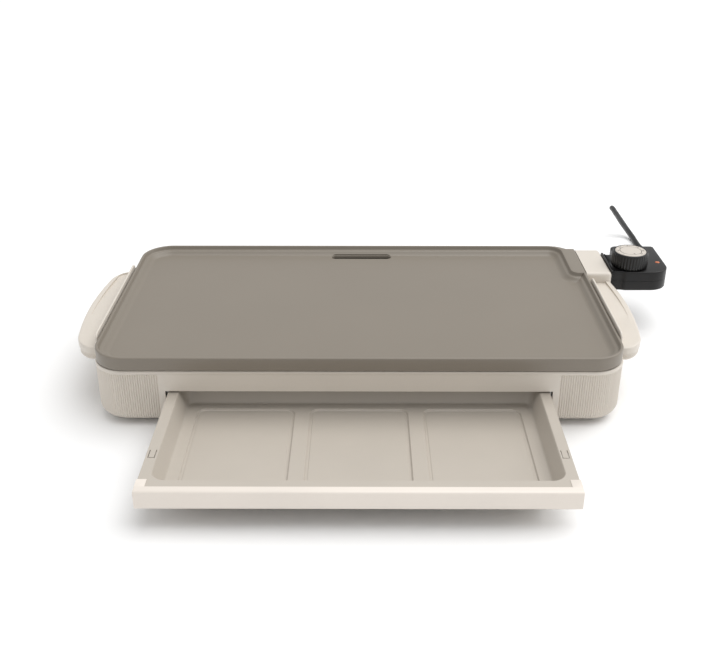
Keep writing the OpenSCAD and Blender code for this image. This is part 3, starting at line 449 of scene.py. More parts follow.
def wing(name, side, inset, profile, ribbed, stands_for=()):
    """A wing's outline is a rounded rectangle, cut at the tub and bowed along its outer edge."""
    shape = bmesh.new()
    cx, cy = handle_reach - handle_r, handle_half - handle_r
    rear = cover_low.y - 0.1 if side > 0 else handle_y + handle_half
    ring(shape, cx, cy, *profile[0], steps=60)
    move(shape, (0, handle_y, 0))
    for co, no in (((base_x - 2.5, 0, 0), (-1, 0, 0)), ((0, rear - inset, 0), (0, 1, 0))):
        bmesh.ops.bisect_plane(shape, geom=shape.verts[:] + shape.edges[:], plane_co=co, plane_no=no,
                               clear_outer=True)
        loose = [v for v in shape.verts if len(v.link_edges) == 1]
        if len(loose) == 2:
            shape.edges.new(loose)
    densify(shape, 0.45, lambda m: m.x > base_x - 1)
    move(shape, (0, -handle_y, 0))
    first = list(shape.edges)
    last = carry_open(shape, first, cx, cy, rear - inset - handle_y, profile[1:])
    for loop in (first, last):
        bmesh.ops.edgeloop_fill(shape, edges=loop)
    for v in shape.verts:
        bow = v.co.y ** 2 / (2 * handle_arc)
        share = (v.co.x - base_x) / (handle_reach - base_x)
        if ribbed and v.co.z in ribbed and v.co.x > base_x and v.co.y < rear - inset - handle_y - 0.5:
            centre = Vector((min(cx, v.co.x), max(-cy, min(cy, v.co.y)), v.co.z))
            out = (v.co - centre).normalized()
            turn = math.atan2(v.co.y - centre.y, v.co.x - centre.x) * handle_r
            v.co += out * rib_wave(turn + centre.y + min(0, v.co.x - cx))
        v.co.x -= bow * share
    move(shape, (0, handle_y, 0))
    bmesh.ops.scale(shape, vec=(side, 1, 1), verts=shape.verts)
    return piece(name, shape, cream, slot="cream_plastic", stands_for=stands_for)


def settle(made):
    """Replaces an object's mesh by what its modifiers make of it."""
    seen = made.evaluated_get(bpy.context.evaluated_depsgraph_get())
    mesh = bpy.data.meshes.new_from_object(seen)
    made.modifiers.clear()
    made.data = mesh


def cut(made, cutter, how="DIFFERENCE"):
    """Cuts a shape drawn in millimetres out of a finished object, or joins it on."""
    tool = piece("cutter", cutter, body=None)
    act = made.modifiers.new(how.lower(), "BOOLEAN")
    act.object = tool
    act.operation = how
    act.solver = "EXACT"
    act.use_self = True
    settle(made)
    bpy.data.objects.remove(tool)


scoop_y0, scoop_l, scoop_depth, scoop_edge = -50.0, 150.0, 3.0, 7.0
ledge = [(27.2, -11), (27.8, -10.7), (28, -10.4), (28, -3.9), (27.75, -3.0), (27.2, -2.4), (26.2, -2.05), (24.4, -2)]


def turn_corner(shape, corner, r, steps):
    """Rounds one corner of a flat outline."""
    bmesh.ops.bevel(shape, geom=[corner], offset=r, offset_type="OFFSET", segments=steps, profile=0.5,
                    affect="VERTICES", material=-1)


def finger_scoop(side):
    """The shallow hollow for the fingers in a ledge's top, which deepens towards the rear."""
    shape = bmesh.new()
    x0, x1 = base_x + 4.8, handle_reach - scoop_edge
    y1 = cover_low.y + 5 if side > 0 else handle_y + handle_half - scoop_edge
    shape.faces.new([shape.verts.new(co) for co in ((x0, scoop_y0, 0), (x1, scoop_y0, 0), (x1, y1, 0), (x0, y1, 0))])
    for v in [v for v in shape.verts if side < 0 or v.co.y < 0]:
        turn_corner(shape, v, 11, 8)
    bmesh.ops.subdivide_edges(shape, edges=[e for e in shape.edges if e.calc_length() > 50], cuts=12)
    drawn = bmesh.ops.extrude_face_region(shape, geom=list(shape.faces))["geom"]
    for v in drawn:
        if isinstance(v, bmesh.types.BMVert):
            v.co.z = 2 * scoop_depth + 3
    floor_rim = {e for f in shape.faces if abs(f.normal.z) > 0.9 and f.calc_center_median().z < 1 for e in f.edges}
    rounded(shape, list(floor_rim), 2.2, 4)
    for v in shape.verts:
        share = (v.co.x - base_x) / (handle_reach - base_x)
        v.co.x -= (v.co.y - handle_y) ** 2 / (2 * handle_arc) * share
    tilt = Matrix.Rotation(-math.atan(scoop_depth / scoop_l), 4, "X")
    move(shape, (0, -scoop_y0, 0))
    bmesh.ops.transform(shape, matrix=Matrix.Translation((0, scoop_y0, ledge[-1][1])) @ tilt, verts=shape.verts)
    bmesh.ops.scale(shape, vec=(side, 1, 1), verts=shape.verts)
    return shape


cap = [(25.4, -18), (26.4, -17.7), (26.8, -17.1), (26.8, -16.4), (26.8, -14.5), (26.8, -12.4), (26.7, -11.7),
       (26.2, -11.1)]
for side, hand in ((-1, "left"), (1, "right")):
    held = wing(hand + "_handle_ledge", side, 0, ledge, ribbed=(-10.4, -3.9))
    cut(held, finger_scoop(side))
    smooth(held)
    wing(hand + "_handle_grip", side, 0.2, cap, ribbed=(-16.4, -14.5, -12.4), stands_for=[hand + "_handle_cap"])

guard_t, guard_top = 2.3, shell_high.z
for side, y0, y1 in ((-1, -115, 92), (1, -111, 50)):
    guard = bmesh.new()
    x0, x1 = sorted((side * base_x, side * (base_x + guard_t)))
    block(guard, x0, x1, y0, y1, -11, guard_top, round_by=8, steps=8,
          pick=lambda e: middle(e).z > guard_top - 1 and abs(middle(e).y - (y0 + y1) / 2) > 50)
    rims = [e for e in guard.edges if len(e.link_faces) == 2 and e.calc_face_angle() > 1.2 and middle(e).z > -5]
    rounded(guard, rims, 0.9, 4)
    piece(("left" if side < 0 else "right") + "_finger_guard", guard, cream, slot="cream_plastic")


# ---------------- socket cover
# A hollow cream box screwed onto the tub's end. It hides the terminals, and its outer wall has
# the holes that the probe's two contacts and its sensor rod pass through.
def rod_along_x(shape, x0, x1, y, z, r, steps=40):
    turn = Matrix.Translation(((x0 + x1) / 2, y, z)) @ Matrix.Rotation(math.pi / 2, 4, "Y")
    bmesh.ops.create_cone(shape, cap_ends=True, segments=steps, radius1=r, radius2=r, depth=x1 - x0, matrix=turn)


def thicken(made, wall):
    """Gives an open skin a wall, in metres, on its inner side."""
    act = made.modifiers.new("wall", "SOLIDIFY")
    act.thickness = wall
    act.offset = -1
    settle(made)


def socket_bores(x0, x1, pin_bore, rod_bore):
    """Tools for the two contact holes and the sensor's hole under them."""
    tools = bmesh.new()
    for side in (-1, 1):
        rod_along_x(tools, x0, x1, socket_y + side * pin_gap / 2, pin_z, pin_bore)
    rod_along_x(tools, x0, x1, socket_y, rod_z, rod_bore)
    return tools


cover_shape = bmesh.new()
block(cover_shape, cover_low.x, cover_high.x, cover_low.y, cover_high.y, cover_low.z, cover_high.z, round_by=5,
      steps=5, pick=lambda e: abs(middle(e).z) < 5 and middle(e).x > cover_low.x + 5 and abs(e.verts[0].co.z
      - e.verts[1].co.z) > 5)
rounded(cover_shape, [e for e in cover_shape.edges if all(abs(v.co.z - cover_high.z) < 0.01 for v in e.verts)
                      and middle(e).x > cover_low.x + 0.5], 4.6, 6)
open_sides = [f for f in cover_shape.faces if f.normal.x < -0.9 or f.normal.z < -0.9]
bmesh.ops.delete(cover_shape, geom=open_sides, context="FACES")
socket_cover = piece("socket_housing", cover_shape, cream, slot="cream_plastic", stands_for=["socket_cover"])
thicken(socket_cover, 0.0025)
socket_y, pin_gap, pin_z, rod_z = 100.0, 28.0, -3.0, -8.5
cut(socket_cover, socket_bores(cover_high.x - 8, cover_high.x + 4, 4.8, 3.1))
smooth(socket_cover)

seat_shape = bmesh.new()
block(seat_shape, base_x - 1, cover_high.x - 1, cover_low.y + 1, cover_high.y - 1, cover_low.z - 5, cover_low.z,
      round_by=2.2, steps=4, pick=lambda e: middle(e).x > base_x + 5 and middle(e).z < cover_low.z - 1)
piece("socket_seat", seat_shape, cream, slot="cream_plastic")


# ---------------- floor, feet and screws
# A plain moulded floor closes the tub from below on six screws, and four rubber feet press into
# it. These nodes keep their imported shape.
def dress(finish, *names):
    """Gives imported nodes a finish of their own."""
    for name in names:
        for held in nodes[name].material_slots:
            held.material = finish


floor_grey = surface("floor_moulding", srgb(176, 168, 157), 0.55, tint=0.03, drift=60, grain=0.5, depth=0.03)
foot_rubber = surface("foot_rubber", srgb(52, 50, 48), 0.8, tint=0.12, drift=8, grain=0.35, depth=0.04)
zinc = surface("zinc_plate", srgb(188, 187, 182), 0.36, tint=0.05, drift=9, grain=0.6, depth=0.008, metal=1.0,
               speck=0.06)
dress(floor_grey, "base_floor")
dress(foot_rubber, "feet", "plate_pads")
dress(zinc, "floor_screws", "rail_screws", "reflector_screws", "cover_screws", "drawer_screws", "grease_guides",
      "grease_chute", "thermostat_frame", "element_brackets", "probe_screws")
rail_steel = surface("rail_steel", srgb(180, 180, 178), 0.3, tint=0.03, drift=30, grain=0.5, depth=0.006, metal=1.0,
                     stretch=(1, 0.04, 1))
dress(rail_steel, "left_drawer_rail", "right_drawer_rail")


# ---------------- heat and terminals
# Under the plate a bright rolled reflector carries the tubular element in its brackets. Its ends
# run into a ceramic block, whose two nickel pins take the probe's sleeves.
bright_sheet = surface("bright_sheet", srgb(214, 215, 216), 0.22, tint=0.03, drift=70, grain=0.7, depth=0.006,
                       metal=1.0, stretch=(0.03, 1, 1), gloss_drift=0.05)
sheath = surface("element_sheath", srgb(96, 88, 82), 0.5, tint=0.25, drift=28, grain=0.5, depth=0.02, metal=0.9)
ceramic = surface("ceramic", srgb(228, 224, 214), 0.7, tint=0.03, drift=6, grain=0.4, depth=0.03, speck=0.05)
nickel = surface("nickel", srgb(205, 202, 194), 0.2, tint=0.04, drift=7, grain=0.3, depth=0.004, metal=1.0)
brass = surface("brass", srgb(204, 172, 104), 0.28, tint=0.08, drift=6, grain=0.3, depth=0.004, metal=1.0)
copper = surface("bimetal", srgb(176, 122, 88), 0.32, tint=0.1, drift=9, grain=0.3, depth=0.004, metal=1.0)
dress(bright_sheet, "heat_reflector")
dress(sheath, "heating_element")
dress(ceramic, "terminal_block", "contact_block")
dress(nickel, "terminal_pins", "contact_points", "plug_blades", "knob_shaft", "sensor_rod")
dress(brass, "contact_sleeves", "contact_arms")
dress(copper, "bimetal_strip")


# ---------------- cooking plate
# The plate is one aluminium casting with a satin taupe non-stick coat. Its rim stands 10 mm over
# the cooking surface; a raised tab meets the socket cover, and a slot lets grease run off.
coating = surface("nonstick_coat", srgb(131, 123, 112), 0.4, tint=0.018, drift=130, grain=0.8, depth=0.014,
                  gloss_drift=0.05, speck=0.035)
plate_low, plate_high = place_of("cooking_plate")
plate_r, rim_w = 38.0, 3.0
plate_x, plate_y = plate_high.x - plate_r, plate_high.y - plate_r
plate_under = -4.0
rim_top = plate_high.z
rim_fall = [(-0.7, 10.0), (-0.1, 9.85), (0.35, 9.4), (0.6, 8.8), (1.5, 6.6), (1.9, 5.75), (2.4, 5.25), (3.1, 5.0),
            (4.4, 4.8), (5.2, 4.45), (6.0, 3.8), (7.6, 2.3), (9.2, 1.15), (10.8, 0.42), (12.2, 0.09), (13.4, 0)]
plate_shape = bmesh.new()
rim_inner = plate_r - rim_w
rounded_block(plate_shape, plate_x, plate_y,
              [(33.4, plate_under), (34, plate_under - 0.5), (34, plate_low.z + 0.5), (34.4, plate_low.z),
               (37.5, plate_low.z), (plate_r, plate_low.z + 0.5), (plate_r, 3), (plate_r, rim_top - 1.6),
               (plate_r - 0.15, rim_top - 0.9), (plate_r - 0.6, rim_top - 0.3), (plate_r - 1.3, rim_top)]
              + [(rim_inner - d, z) for d, z in rim_fall], steps=18)
cooking_plate = piece("griddle_plate", plate_shape, coating, body="plate", slot="nonstick_aluminium",
                      stands_for=["cooking_plate"])

# The tab's outline: a round front corner, a straight inner side, and a hollow corner that runs
# into the rear rim. Its side falls to the cooking surface as the rim's does.
tab_x, tab_y, tab_r, hollow_r = 274.5, 70.0, 10.0, 18.0
front_corner = Vector((tab_x + tab_r, tab_y + tab_r, 0))
hollow_corner = Vector((tab_x - hollow_r, plate_high.y - rim_w - hollow_r, 0))


def arc(shape, end, centre, degrees, steps=10):
    """Turns the last point of an outline round a centre, and gives the new last point."""
    made = bmesh.ops.spin(shape, geom=[end], cent=centre, axis=(0, 0, 1), angle=math.radians(degrees), steps=steps)
    return next(g for g in made["geom_last"] if isinstance(g, bmesh.types.BMVert))


def line(shape, end, x, y):
    new = shape.verts.new((x, y, 0))
    shape.edges.new((end, new))
    return new


def inwards(v):
    """The way a point of the tab's side moves as the side flares out over the pan."""
    x, y = v.co.x, v.co.y
    flat = Vector((x, y, 0))
    if y > plate_high.y - rim_w + 0.01 or x > 290:
        return Vector((0, 0, 0))
    if y < front_corner.y:
        return Vector((0, -1, 0)) if x > front_corner.x else (flat - front_corner).normalized()
    return (hollow_corner - flat).normalized() if y > hollow_corner.y else Vector((-1, 0, 0))


tab = bmesh.new()
start = tab.verts.new((plate_high.x - 1.5, tab_y, 0))
end = line(tab, start, front_corner.x, tab_y)
end = arc(tab, end, front_corner, -90)
end = line(tab, end, tab_x, hollow_corner.y)
end = arc(tab, end, hollow_corner, 90)
end = line(tab, end, plate_x, plate_high.y - 1.5)
end = arc(tab, end, Vector((plate_x, plate_y, 0)), -90, steps=18)
tab.edges.new((end, start))
bmesh.ops.remove_doubles(tab, verts=tab.verts, dist=0.01)
outline = list(tab.edges)
ways = {}
for v in tab.verts:
    v.co.z = rim_top
for d, z in [(rim_fall[0][0], rim_top)] + rim_fall[1:] + [(13.4, -2)]:
    if ways:
        made = bmesh.ops.extrude_edge_only(tab, edges=outline)["geom"]
        fresh = {g for g in made if isinstance(g, bmesh.types.BMVert)}
        outline = list({e for v in fresh for e in v.link_edges if e.other_vert(v) in fresh})
        below = {}
        for v in fresh:
            above = next(e.other_vert(v) for e in v.link_edges if e.other_vert(v) in ways)
            below[v] = ways[above]
        ways = below
    else:
        ways = {v: (inwards(v), v.co.copy()) for v in tab.verts}
        top_edges = outline
    for v, (way, at) in ways.items():
        v.co = at + way * d
        v.co.z = z
bmesh.ops.edgeloop_fill(tab, edges=top_edges)
bmesh.ops.edgeloop_fill(tab, edges=outline)
cut(cooking_plate, tab, "UNION")
lip = bmesh.new()
block(lip, tab_x + 4, plate_high.x, tab_y + 12, cover_high.y, rim_top - 5, rim_top, round_by=1.3, steps=3,
      pick=lambda e: middle(e).z > rim_top - 3 and (middle(e).x > plate_high.x - 1 or middle(e).y > cover_high.y - 1))
cut(cooking_plate, lip, "UNION")

slot_low, slot_high = Vector((-38, 140.5, 0)), Vector((42, 151.5, 0))
slot_r = (slot_high.y - slot_low.y) / 2
slot_tool = bmesh.new()
rounded_block(slot_tool, (slot_high.x - slot_low.x) / 2 - slot_r, 0.02,
              [(slot_r, -9), (slot_r, -0.9), (slot_r + 0.3, -0.35), (slot_r + 0.9, 0.001),
               (slot_r + 1.2, 4)], steps=8)
move(slot_tool, (slot_low + slot_high) / 2)
cut(cooking_plate, slot_tool)
smooth(cooking_plate, 30)


# ---------------- drawer tray
# The warming tray is one vacuum-thin cream moulding: a flat rim, sloping sides, a ledge and three
# shallow pockets, each with a groove round its floor. A snap tongue is cut free in each side rim.
# The tray's cream is darker than the tub's all over: painted shade for the shade inside the tray's hollow, which also
# darkens its rim.
tray_cream_painted_shade = surface("tray_moulding_painted_shade", srgb(188, 180, 169), 0.38, tint=0.02, drift=80, grain=0.6, depth=0.02,
                     gloss_drift=0.05, speck=0.02, coat=0.15)
tray_low, tray_high = place_of("drawer_tray")
tray_top, ledge_z, tray_x = -34.1, -56.1, tray_high.x
tray_rim, draft, inner_r = 11.5, 7.0, 14.5
tray_mid = (tray_low.y + tray_high.y) / 2
tray_half = (tray_high.y - tray_low.y) / 2
pan_r = tray_rim + inner_r
pan_x, pan_y = tray_x - pan_r, tray_half - pan_r
tray_shape = bmesh.new()
block(tray_shape, -tray_x, tray_x, tray_low.y, tray_high.y, tray_top - 2.5, tray_top, round_by=6, steps=6,
      pick=lambda e: abs(e.verts[0].co.z - e.verts[1].co.z) > 1 and middle(e).y > tray_mid)
drawer_tray = piece("warming_tray", tray_shape, tray_cream_painted_shade, body="drawer", slot="tray_plastic",
                    stands_for=["drawer_tray"])
body_shape = bmesh.new()
rounded_block(body_shape, pan_x, pan_y,
              [(inner_r + 2.5 - draft - 2.5, tray_low.z), (inner_r + 2.5 - draft - 0.7, tray_low.z + 0.7),
               (inner_r + 2.5 - draft, tray_low.z + 2.5), (inner_r + 2.5, tray_top - 1)])
move(body_shape, (0, tray_mid, 0))
cut(drawer_tray, body_shape, "UNION")
front_wall = bmesh.new()
wall_x, wall_under = 203.3, -51.7
block(front_wall, -wall_x, wall_x, tray_low.y, tray_low.y + 2.4, wall_under, tray_top - 1)
for side in (-1, 1):
    x0, x1 = sorted((side * (tray_x - 13), side * (tray_x - 2)))
    block(front_wall, x0, x1, tray_high.y - 20, tray_high.y - 16, ledge_z + 9, tray_top - 5.2)
cut(drawer_tray, front_wall, "UNION")

pan_tool = bmesh.new()
low_r = inner_r - draft
rounded_block(pan_tool, pan_x, pan_y,
              [(low_r - 2.2, ledge_z), (low_r - 1.0, ledge_z + 0.25), (low_r - 0.2, ledge_z + 0.9),
               (low_r + 0.5, ledge_z + 2.2), (inner_r - 0.4, tray_top - 1.4), (inner_r, tray_top - 0.6),
               (inner_r + 0.8, tray_top + 0.02), (inner_r + 1, tray_top + 2)], steps=12)
move(pan_tool, (0, tray_mid, 0))
cut(drawer_tray, pan_tool)

divider, margin, pocket_r, pocket_drop = 16.7, 13.0, 10.0, 2.0
pocket_w = (2 * (tray_x - tray_rim - draft - margin) - 2 * divider) / 3
pocket_half_y = tray_half - tray_rim - draft - margin
pockets = bmesh.new()
for k in (-1, 0, 1):
    before = set(pockets.verts)
    rounded_block(pockets, pocket_w / 2 - pocket_r, pocket_half_y - pocket_r,
                  [(pocket_r - 3.4, ledge_z - pocket_drop + 0.5), (pocket_r - 2.6, ledge_z - pocket_drop),
                   (pocket_r - 0.9, ledge_z - pocket_drop), (pocket_r - 0.2, ledge_z - pocket_drop + 0.6),
                   (pocket_r + 0.1, ledge_z - 0.4), (pocket_r + 0.7, ledge_z + 0.01), (pocket_r + 1, ledge_z + 2)],
                  steps=8)
    fresh = [v for v in pockets.verts if v not in before]
    bmesh.ops.translate(pockets, vec=(k * (pocket_w + divider), tray_mid, 0), verts=fresh)
cut(drawer_tray, pockets)

tongues = bmesh.new()
for side in (-1, 1):
    x = side * (tray_x - 5.8)
    for leg in (-3.2, 3.2):
        block(tongues, x + leg - 0.5, x + leg + 0.5, tray_low.y + 48, tray_low.y + 62, tray_top - 4, tray_top + 4)
    block(tongues, x - 3.7, x + 3.7, tray_low.y + 48, tray_low.y + 49, tray_top - 4, tray_top + 4)
cut(drawer_tray, tongues)
smooth(drawer_tray, 28)


# ---------------- drawer front
# The front is a thicker cream moulding screwed to the tray from behind. A broad bevel runs along
# its top edge, and each end wraps back over the rim in a short tab.
# The panel is the same plastic as the tub. Its cream is painted lighter than the tub's, standing in for the light
# that falls on its face.
front_cream_painted_light = surface("front_moulding_painted_light", srgb(232, 223, 213), 0.36, tint=0.02, drift=70, grain=0.55, depth=0.015,
                      gloss_drift=0.05, coat=0.18)
front_low, front_high = place_of("drawer_front")
front_t = 9.1
front_shape = bmesh.new()
block(front_shape, front_low.x, front_high.x, front_low.y, front_low.y + front_t, front_low.z, front_high.z)
for pick, offset, steps in (
        (lambda e: middle(e).y < front_low.y + 0.1 and middle(e).z > front_high.z - 0.1, 2.8, 4),
        (lambda e: all(v.co.z < front_low.z + 0.1 and v.co.y < front_low.y + 0.1 for v in e.verts), 2.0, 4),
        (lambda e: e.calc_face_angle(0) > 1.0 and middle(e).y < front_low.y + front_t - 0.1, 0.8, 2)):
    rounded(front_shape, [e for e in front_shape.edges if pick(e)], offset, steps)
drawer_front = piece("drawer_panel", front_shape, front_cream_painted_light, body="drawer", slot="cream_plastic",
                     stands_for=["drawer_front"])
tabs = bmesh.new()
for side in (-1, 1):
    x0, x1 = sorted((side * front_high.x, side * (front_high.x - 10)))
    y0 = front_low.y + front_t - 1
    block(tabs, x0, x1, y0, front_high.y, tray_top + 0.05, front_high.z - 0.02, round_by=0.25, steps=2)
    x0, x1 = sorted((side * front_high.x, side * (front_high.x - 0.9)))
    block(tabs, x0, x1, y0, front_high.y, tray_top - 2.4, front_high.z - 0.02, round_by=0.2, steps=2)
cut(drawer_front, tabs, "UNION")
smooth(drawer_front, 30)


# ---------------- grease tray
# A shallow cream cup that slides in from the rear, under the plate's slot. Its floor is dished and
# its outer wall has a recess to pull it by.
def flat_middle(low, high):
    """The middle of a node's box, at height 0."""
    return Vector(((low.x + high.x) / 2, (low.y + high.y) / 2, 0))


grease_low, grease_high = place_of("grease_tray")
grease_shape = bmesh.new()
grease_mid = flat_middle(grease_low, grease_high)
half_x, half_y = (grease_high.x - grease_low.x) / 2 - 1, (grease_high.y - grease_low.y) / 2
cup_r, cup_top, cup_under = 8.0, grease_high.z - 2, grease_low.z + 0.8
rounded_block(grease_shape, half_x - cup_r, half_y - cup_r,
              [(cup_r - 2, cup_under), (cup_r - 0.5, cup_under + 0.5), (cup_r, cup_under + 2), (cup_r, cup_top - 1.4),
               (cup_r - 0.2, cup_top - 0.4), (cup_r - 0.6, cup_top), (cup_r - 1.4, cup_top),
               (cup_r - 1.9, cup_top - 0.4), (cup_r - 2, cup_top - 1.4),
               (cup_r - 2.6, cup_under + 5), (cup_r - 4, cup_under + 2.8),
               (cup_r - 6.5, cup_under + 2.1)], steps=10)
move(grease_shape, grease_mid)
# The grease cup shares the tray's darkened cream, with its painted shade.
grease_tray = piece("grease_cup", grease_shape, tray_cream_painted_shade, body="grease", slot="tray_plastic",
                    stands_for=["grease_tray"])
grip = bmesh.new()
block(grip, grease_low.x, grease_high.x, grease_high.y - 2.5, grease_high.y, grease_low.z, grease_high.z,
      round_by=0.9, steps=3)
cut(grease_tray, grip, "UNION")
pull = bmesh.new()
pull_half = 20.0
block(pull, grease_mid.x - pull_half, grease_mid.x + pull_half, grease_high.y - 1.3, grease_high.y + 4,
      cup_under + 5, cup_under + 13, round_by=1.2, steps=3)
cut(grease_tray, pull)
smooth(grease_tray, 30)


# ---------------- probe
# The probe's body is two black heat-proof half shells, screwed together from below, and a flat
# flange that meets the socket cover. Its outer front corner is broadly rounded.
probe_black = surface("probe_moulding", srgb(22, 21, 21), 0.36, tint=0.1, drift=30, grain=0.45, depth=0.02,
                      gloss_drift=0.06, coat=0.1)
probe_low, probe_high = place_of("probe_upper_shell")
case_low = place_of("probe_lower_shell")[0]
split_z, neck_y, waist_x = -5.0, 137.0, probe_low.x + 15
for black in (probe_black, lead_black):
    tune(black, Specular_IOR_Level=0.3)


def case_half(name, z_open, z_shut, stands_for):
    """One half shell: the outline's corners are rounded, it is drawn out from the split, and its closed
    face's edge is rounded; the wall then gets its thickness inwards."""
    shape = bmesh.new()
    corners = [(probe_low.x, probe_low.y + 2, 0.8), (probe_low.x + 12, probe_low.y + 2, 3),
               (probe_low.x + 17, probe_low.y, 3), (probe_high.x, probe_low.y, 24), (probe_high.x, probe_high.y, 4),
               (waist_x, probe_high.y, 9), (waist_x, neck_y, 2), (probe_low.x, neck_y, 0.8)]
    verts = [shape.verts.new((x, y, z_open)) for x, y, r in corners]
    rounds = [r for x, y, r in corners]
    shape.faces.new(verts)
    for v, r in zip(verts, rounds):
        turn_corner(shape, v, r, 12 if r > 5 else 4)
    drawn = bmesh.ops.extrude_face_region(shape, geom=list(shape.faces))["geom"]
    top = [g for g in drawn if isinstance(g, bmesh.types.BMVert)]
    for v in top:
        v.co.z = z_shut
    rim = {e for v in top for e in v.link_edges if abs(middle(e).z - z_shut) < 0.01}
    rounded(shape, list(rim), 1.5, 4)
    shut = [f for f in shape.faces if all(abs(v.co.z - z_open) < 0.01 for v in f.verts)]
    bmesh.ops.delete(shape, geom=shut, context="FACES_ONLY")
    made = piece(name, shape, probe_black, body="probe", slot="probe_black", stands_for=stands_for)
    thicken(made, 0.002)
    smooth(made, 35)
    return made


upper_case = case_half("probe_case_upper", split_z + 0.15, probe_high.z, ["probe_upper_shell"])
lower_case = case_half("probe_case_lower", split_z - 0.15, case_low.z, ["probe_lower_shell"])
ports = socket_bores(probe_low.x - 4, probe_low.x + 5, 4.5, 2.8)
lathe(ports, [(0, -6), (5.6, -6), (5.6, 4), (0, 4)], Vector((0, 1, 0)), Vector((394.1, probe_high.y, -5)))
cut(lower_case, ports.copy())
cut(upper_case, ports)
wells = bmesh.new()
knob_low, knob_high = place_of("knob")
knob_mid = flat_middle(knob_low, knob_high)
lens_low, lens_high = place_of("lamp_lens")
lens_mid = flat_middle(lens_low, lens_high)
for mid, r in ((knob_mid, 3.1), (lens_mid, 3.05)):
    lathe(wells, [(0, 0), (r, 0), (r, 20), (0, 20)], UP, mid)
cut(upper_case, wells)
recesses = bmesh.new()
for x, y in ((probe_low.x + 11, 128), (probe_high.x - 10, 135), (probe_high.x - 39, 158)):
    lathe(recesses, [(0, 0), (3.4, 0), (3.4, 5), (0, 5)], UP, Vector((x, y, case_low.z - 1.4)))
cut(lower_case, recesses)
smooth(upper_case, 35)
smooth(lower_case, 35)

flange_low, flange_high = place_of("probe_flange")
flange_shape = bmesh.new()
block(flange_shape, flange_low.x, flange_high.x, flange_low.y, flange_high.y, flange_low.z, flange_high.z,
      round_by=4, steps=6, pick=lambda e: abs(e.verts[0].co.x - e.verts[1].co.x) > 1)
rounded(flange_shape, [e for e in flange_shape.edges if e.calc_face_angle(0) > 1.2], 0.4, 2)
probe_flange = piece("flange_plate", flange_shape, probe_black, body="probe", slot="probe_black",
                     stands_for=["probe_flange"])
cut(probe_flange, socket_bores(flange_low.x - 3, flange_high.x + 3, 4.3, 2.6))
smooth(probe_flange)


# ---------------- pilot lamp
# A small neon lamp sits under a domed amber lens in the probe's top.
amber = surface("amber_lens", srgb(205, 104, 34), 0.2, tint=0.08, drift=4, grain=0.4, depth=0.01, coat=0.6)
tune(amber, Transmission_Weight=0.25, Emission_Color=srgb(255, 104, 20), Emission_Strength=0.08)
lamp_glass = surface("lamp_glass", srgb(240, 190, 140), 0.08, tint=0.05, drift=3, grain=0.4, depth=0.002)
tune(lamp_glass, Transmission_Weight=0.8)
dress(lamp_glass, "pilot_lamp")
lens_shape = bmesh.new()
lens_r = (lens_high.x - lens_low.x) / 2
lathe(lens_shape, [(0, lens_low.z), (lens_r, lens_low.z), (lens_r, probe_high.z - 0.1),
                   (lens_r - 0.2, probe_high.z + 0.15),
                   (lens_r * 0.75, lens_high.z - 0.2), (lens_r * 0.4, lens_high.z - 0.03), (0, lens_high.z)],
      UP, lens_mid)
piece("pilot_lens", lens_shape, amber, body="probe", slot="amber_lens", stands_for=["lamp_lens"])


# ---------------- knob and dial
# A black knob with thirty-six grip ribs turns the thermostat's shaft. Its top is dished for a cream
# printed disc with a groove, a scale of ticks and numbers, and a mark to set it by.
knob_black = surface("knob_moulding", srgb(15, 15, 15), 0.4, tint=0.1, drift=18, grain=0.4, depth=0.018)
knob_r = (knob_high.x - knob_low.x) / 2
knob_h = knob_high.z - knob_low.z
ribs = 36
knob_shape = bmesh.new()
rounded_block(knob_shape, 0, 0,
              [(knob_r - 1.6, 0), (knob_r - 0.6, 0.4), (knob_r - 0.2, 1.2), (knob_r - 0.05, 2), (knob_r - 0.1, 9),
               (knob_r - 0.3, knob_h - 4), (knob_r - 0.7, knob_h - 2.4), (knob_r - 1.2, knob_h - 1.1),
               (knob_r - 1.6, knob_h - 0.35), (knob_r - 2.2, knob_h), (knob_r - 3.2, knob_h),
               (knob_r - 3.45, knob_h - 0.12), (knob_r - 3.5, knob_h - 0.5), (knob_r - 3.5, knob_h - 1.4)], steps=72)
for v in knob_shape.verts:
    radius = math.hypot(v.co.x, v.co.y)
    if radius > knob_r - 0.9 and v.co.z < knob_h - 1.2:
        turn = math.atan2(v.co.y, v.co.x)
        depth = 0.85 * (0.5 - 0.5 * math.cos(ribs * turn)) ** 2 * min(1, (knob_h - 1.2 - v.co.z) / 2)
        v.co.x *= 1 - depth / radius
        v.co.y *= 1 - depth / radius
move(knob_shape, (knob_mid.x, knob_mid.y, knob_low.z))
piece("control_knob", knob_shape, knob_black, body="dial", slot="probe_black", stands_for=["knob"])

dial_cream = surface("dial_print", srgb(204, 196, 186), 0.4, tint=0.015, drift=12, grain=0.5, depth=0.006)
dial_low, dial_high = place_of("dial_disc")
disc_r = (dial_high.x - dial_low.x) / 2
disc_top = dial_high.z
disc_shape = bmesh.new()
lathe(disc_shape, [(0, dial_low.z), (disc_r - 0.3, dial_low.z), (disc_r, dial_low.z + 0.3), (disc_r, disc_top - 0.55),
                   (disc_r - 0.35, disc_top - 0.15), (disc_r - 1.0, disc_top - 0.08), (disc_r - 5.4, disc_top - 0.08),
                   (disc_r - 5.6, disc_top - 0.4), (disc_r - 6.2, disc_top - 0.4), (disc_r - 6.4, disc_top - 0.05),
                   (0, disc_top - 0.02)], UP, knob_mid, steps=96)
piece("dial_face", disc_shape, dial_cream, body="dial", slot="dial_cream", stands_for=["dial_disc"])

ink = surface("dial_ink", srgb(46, 42, 38), 0.5, tint=0.1, drift=3, grain=0.3, depth=0.002)
scale_shape = bmesh.new()
settings = ["0", "150", "200", "250", "300", "350", "400"]
ink_z = disc_top - 0.08


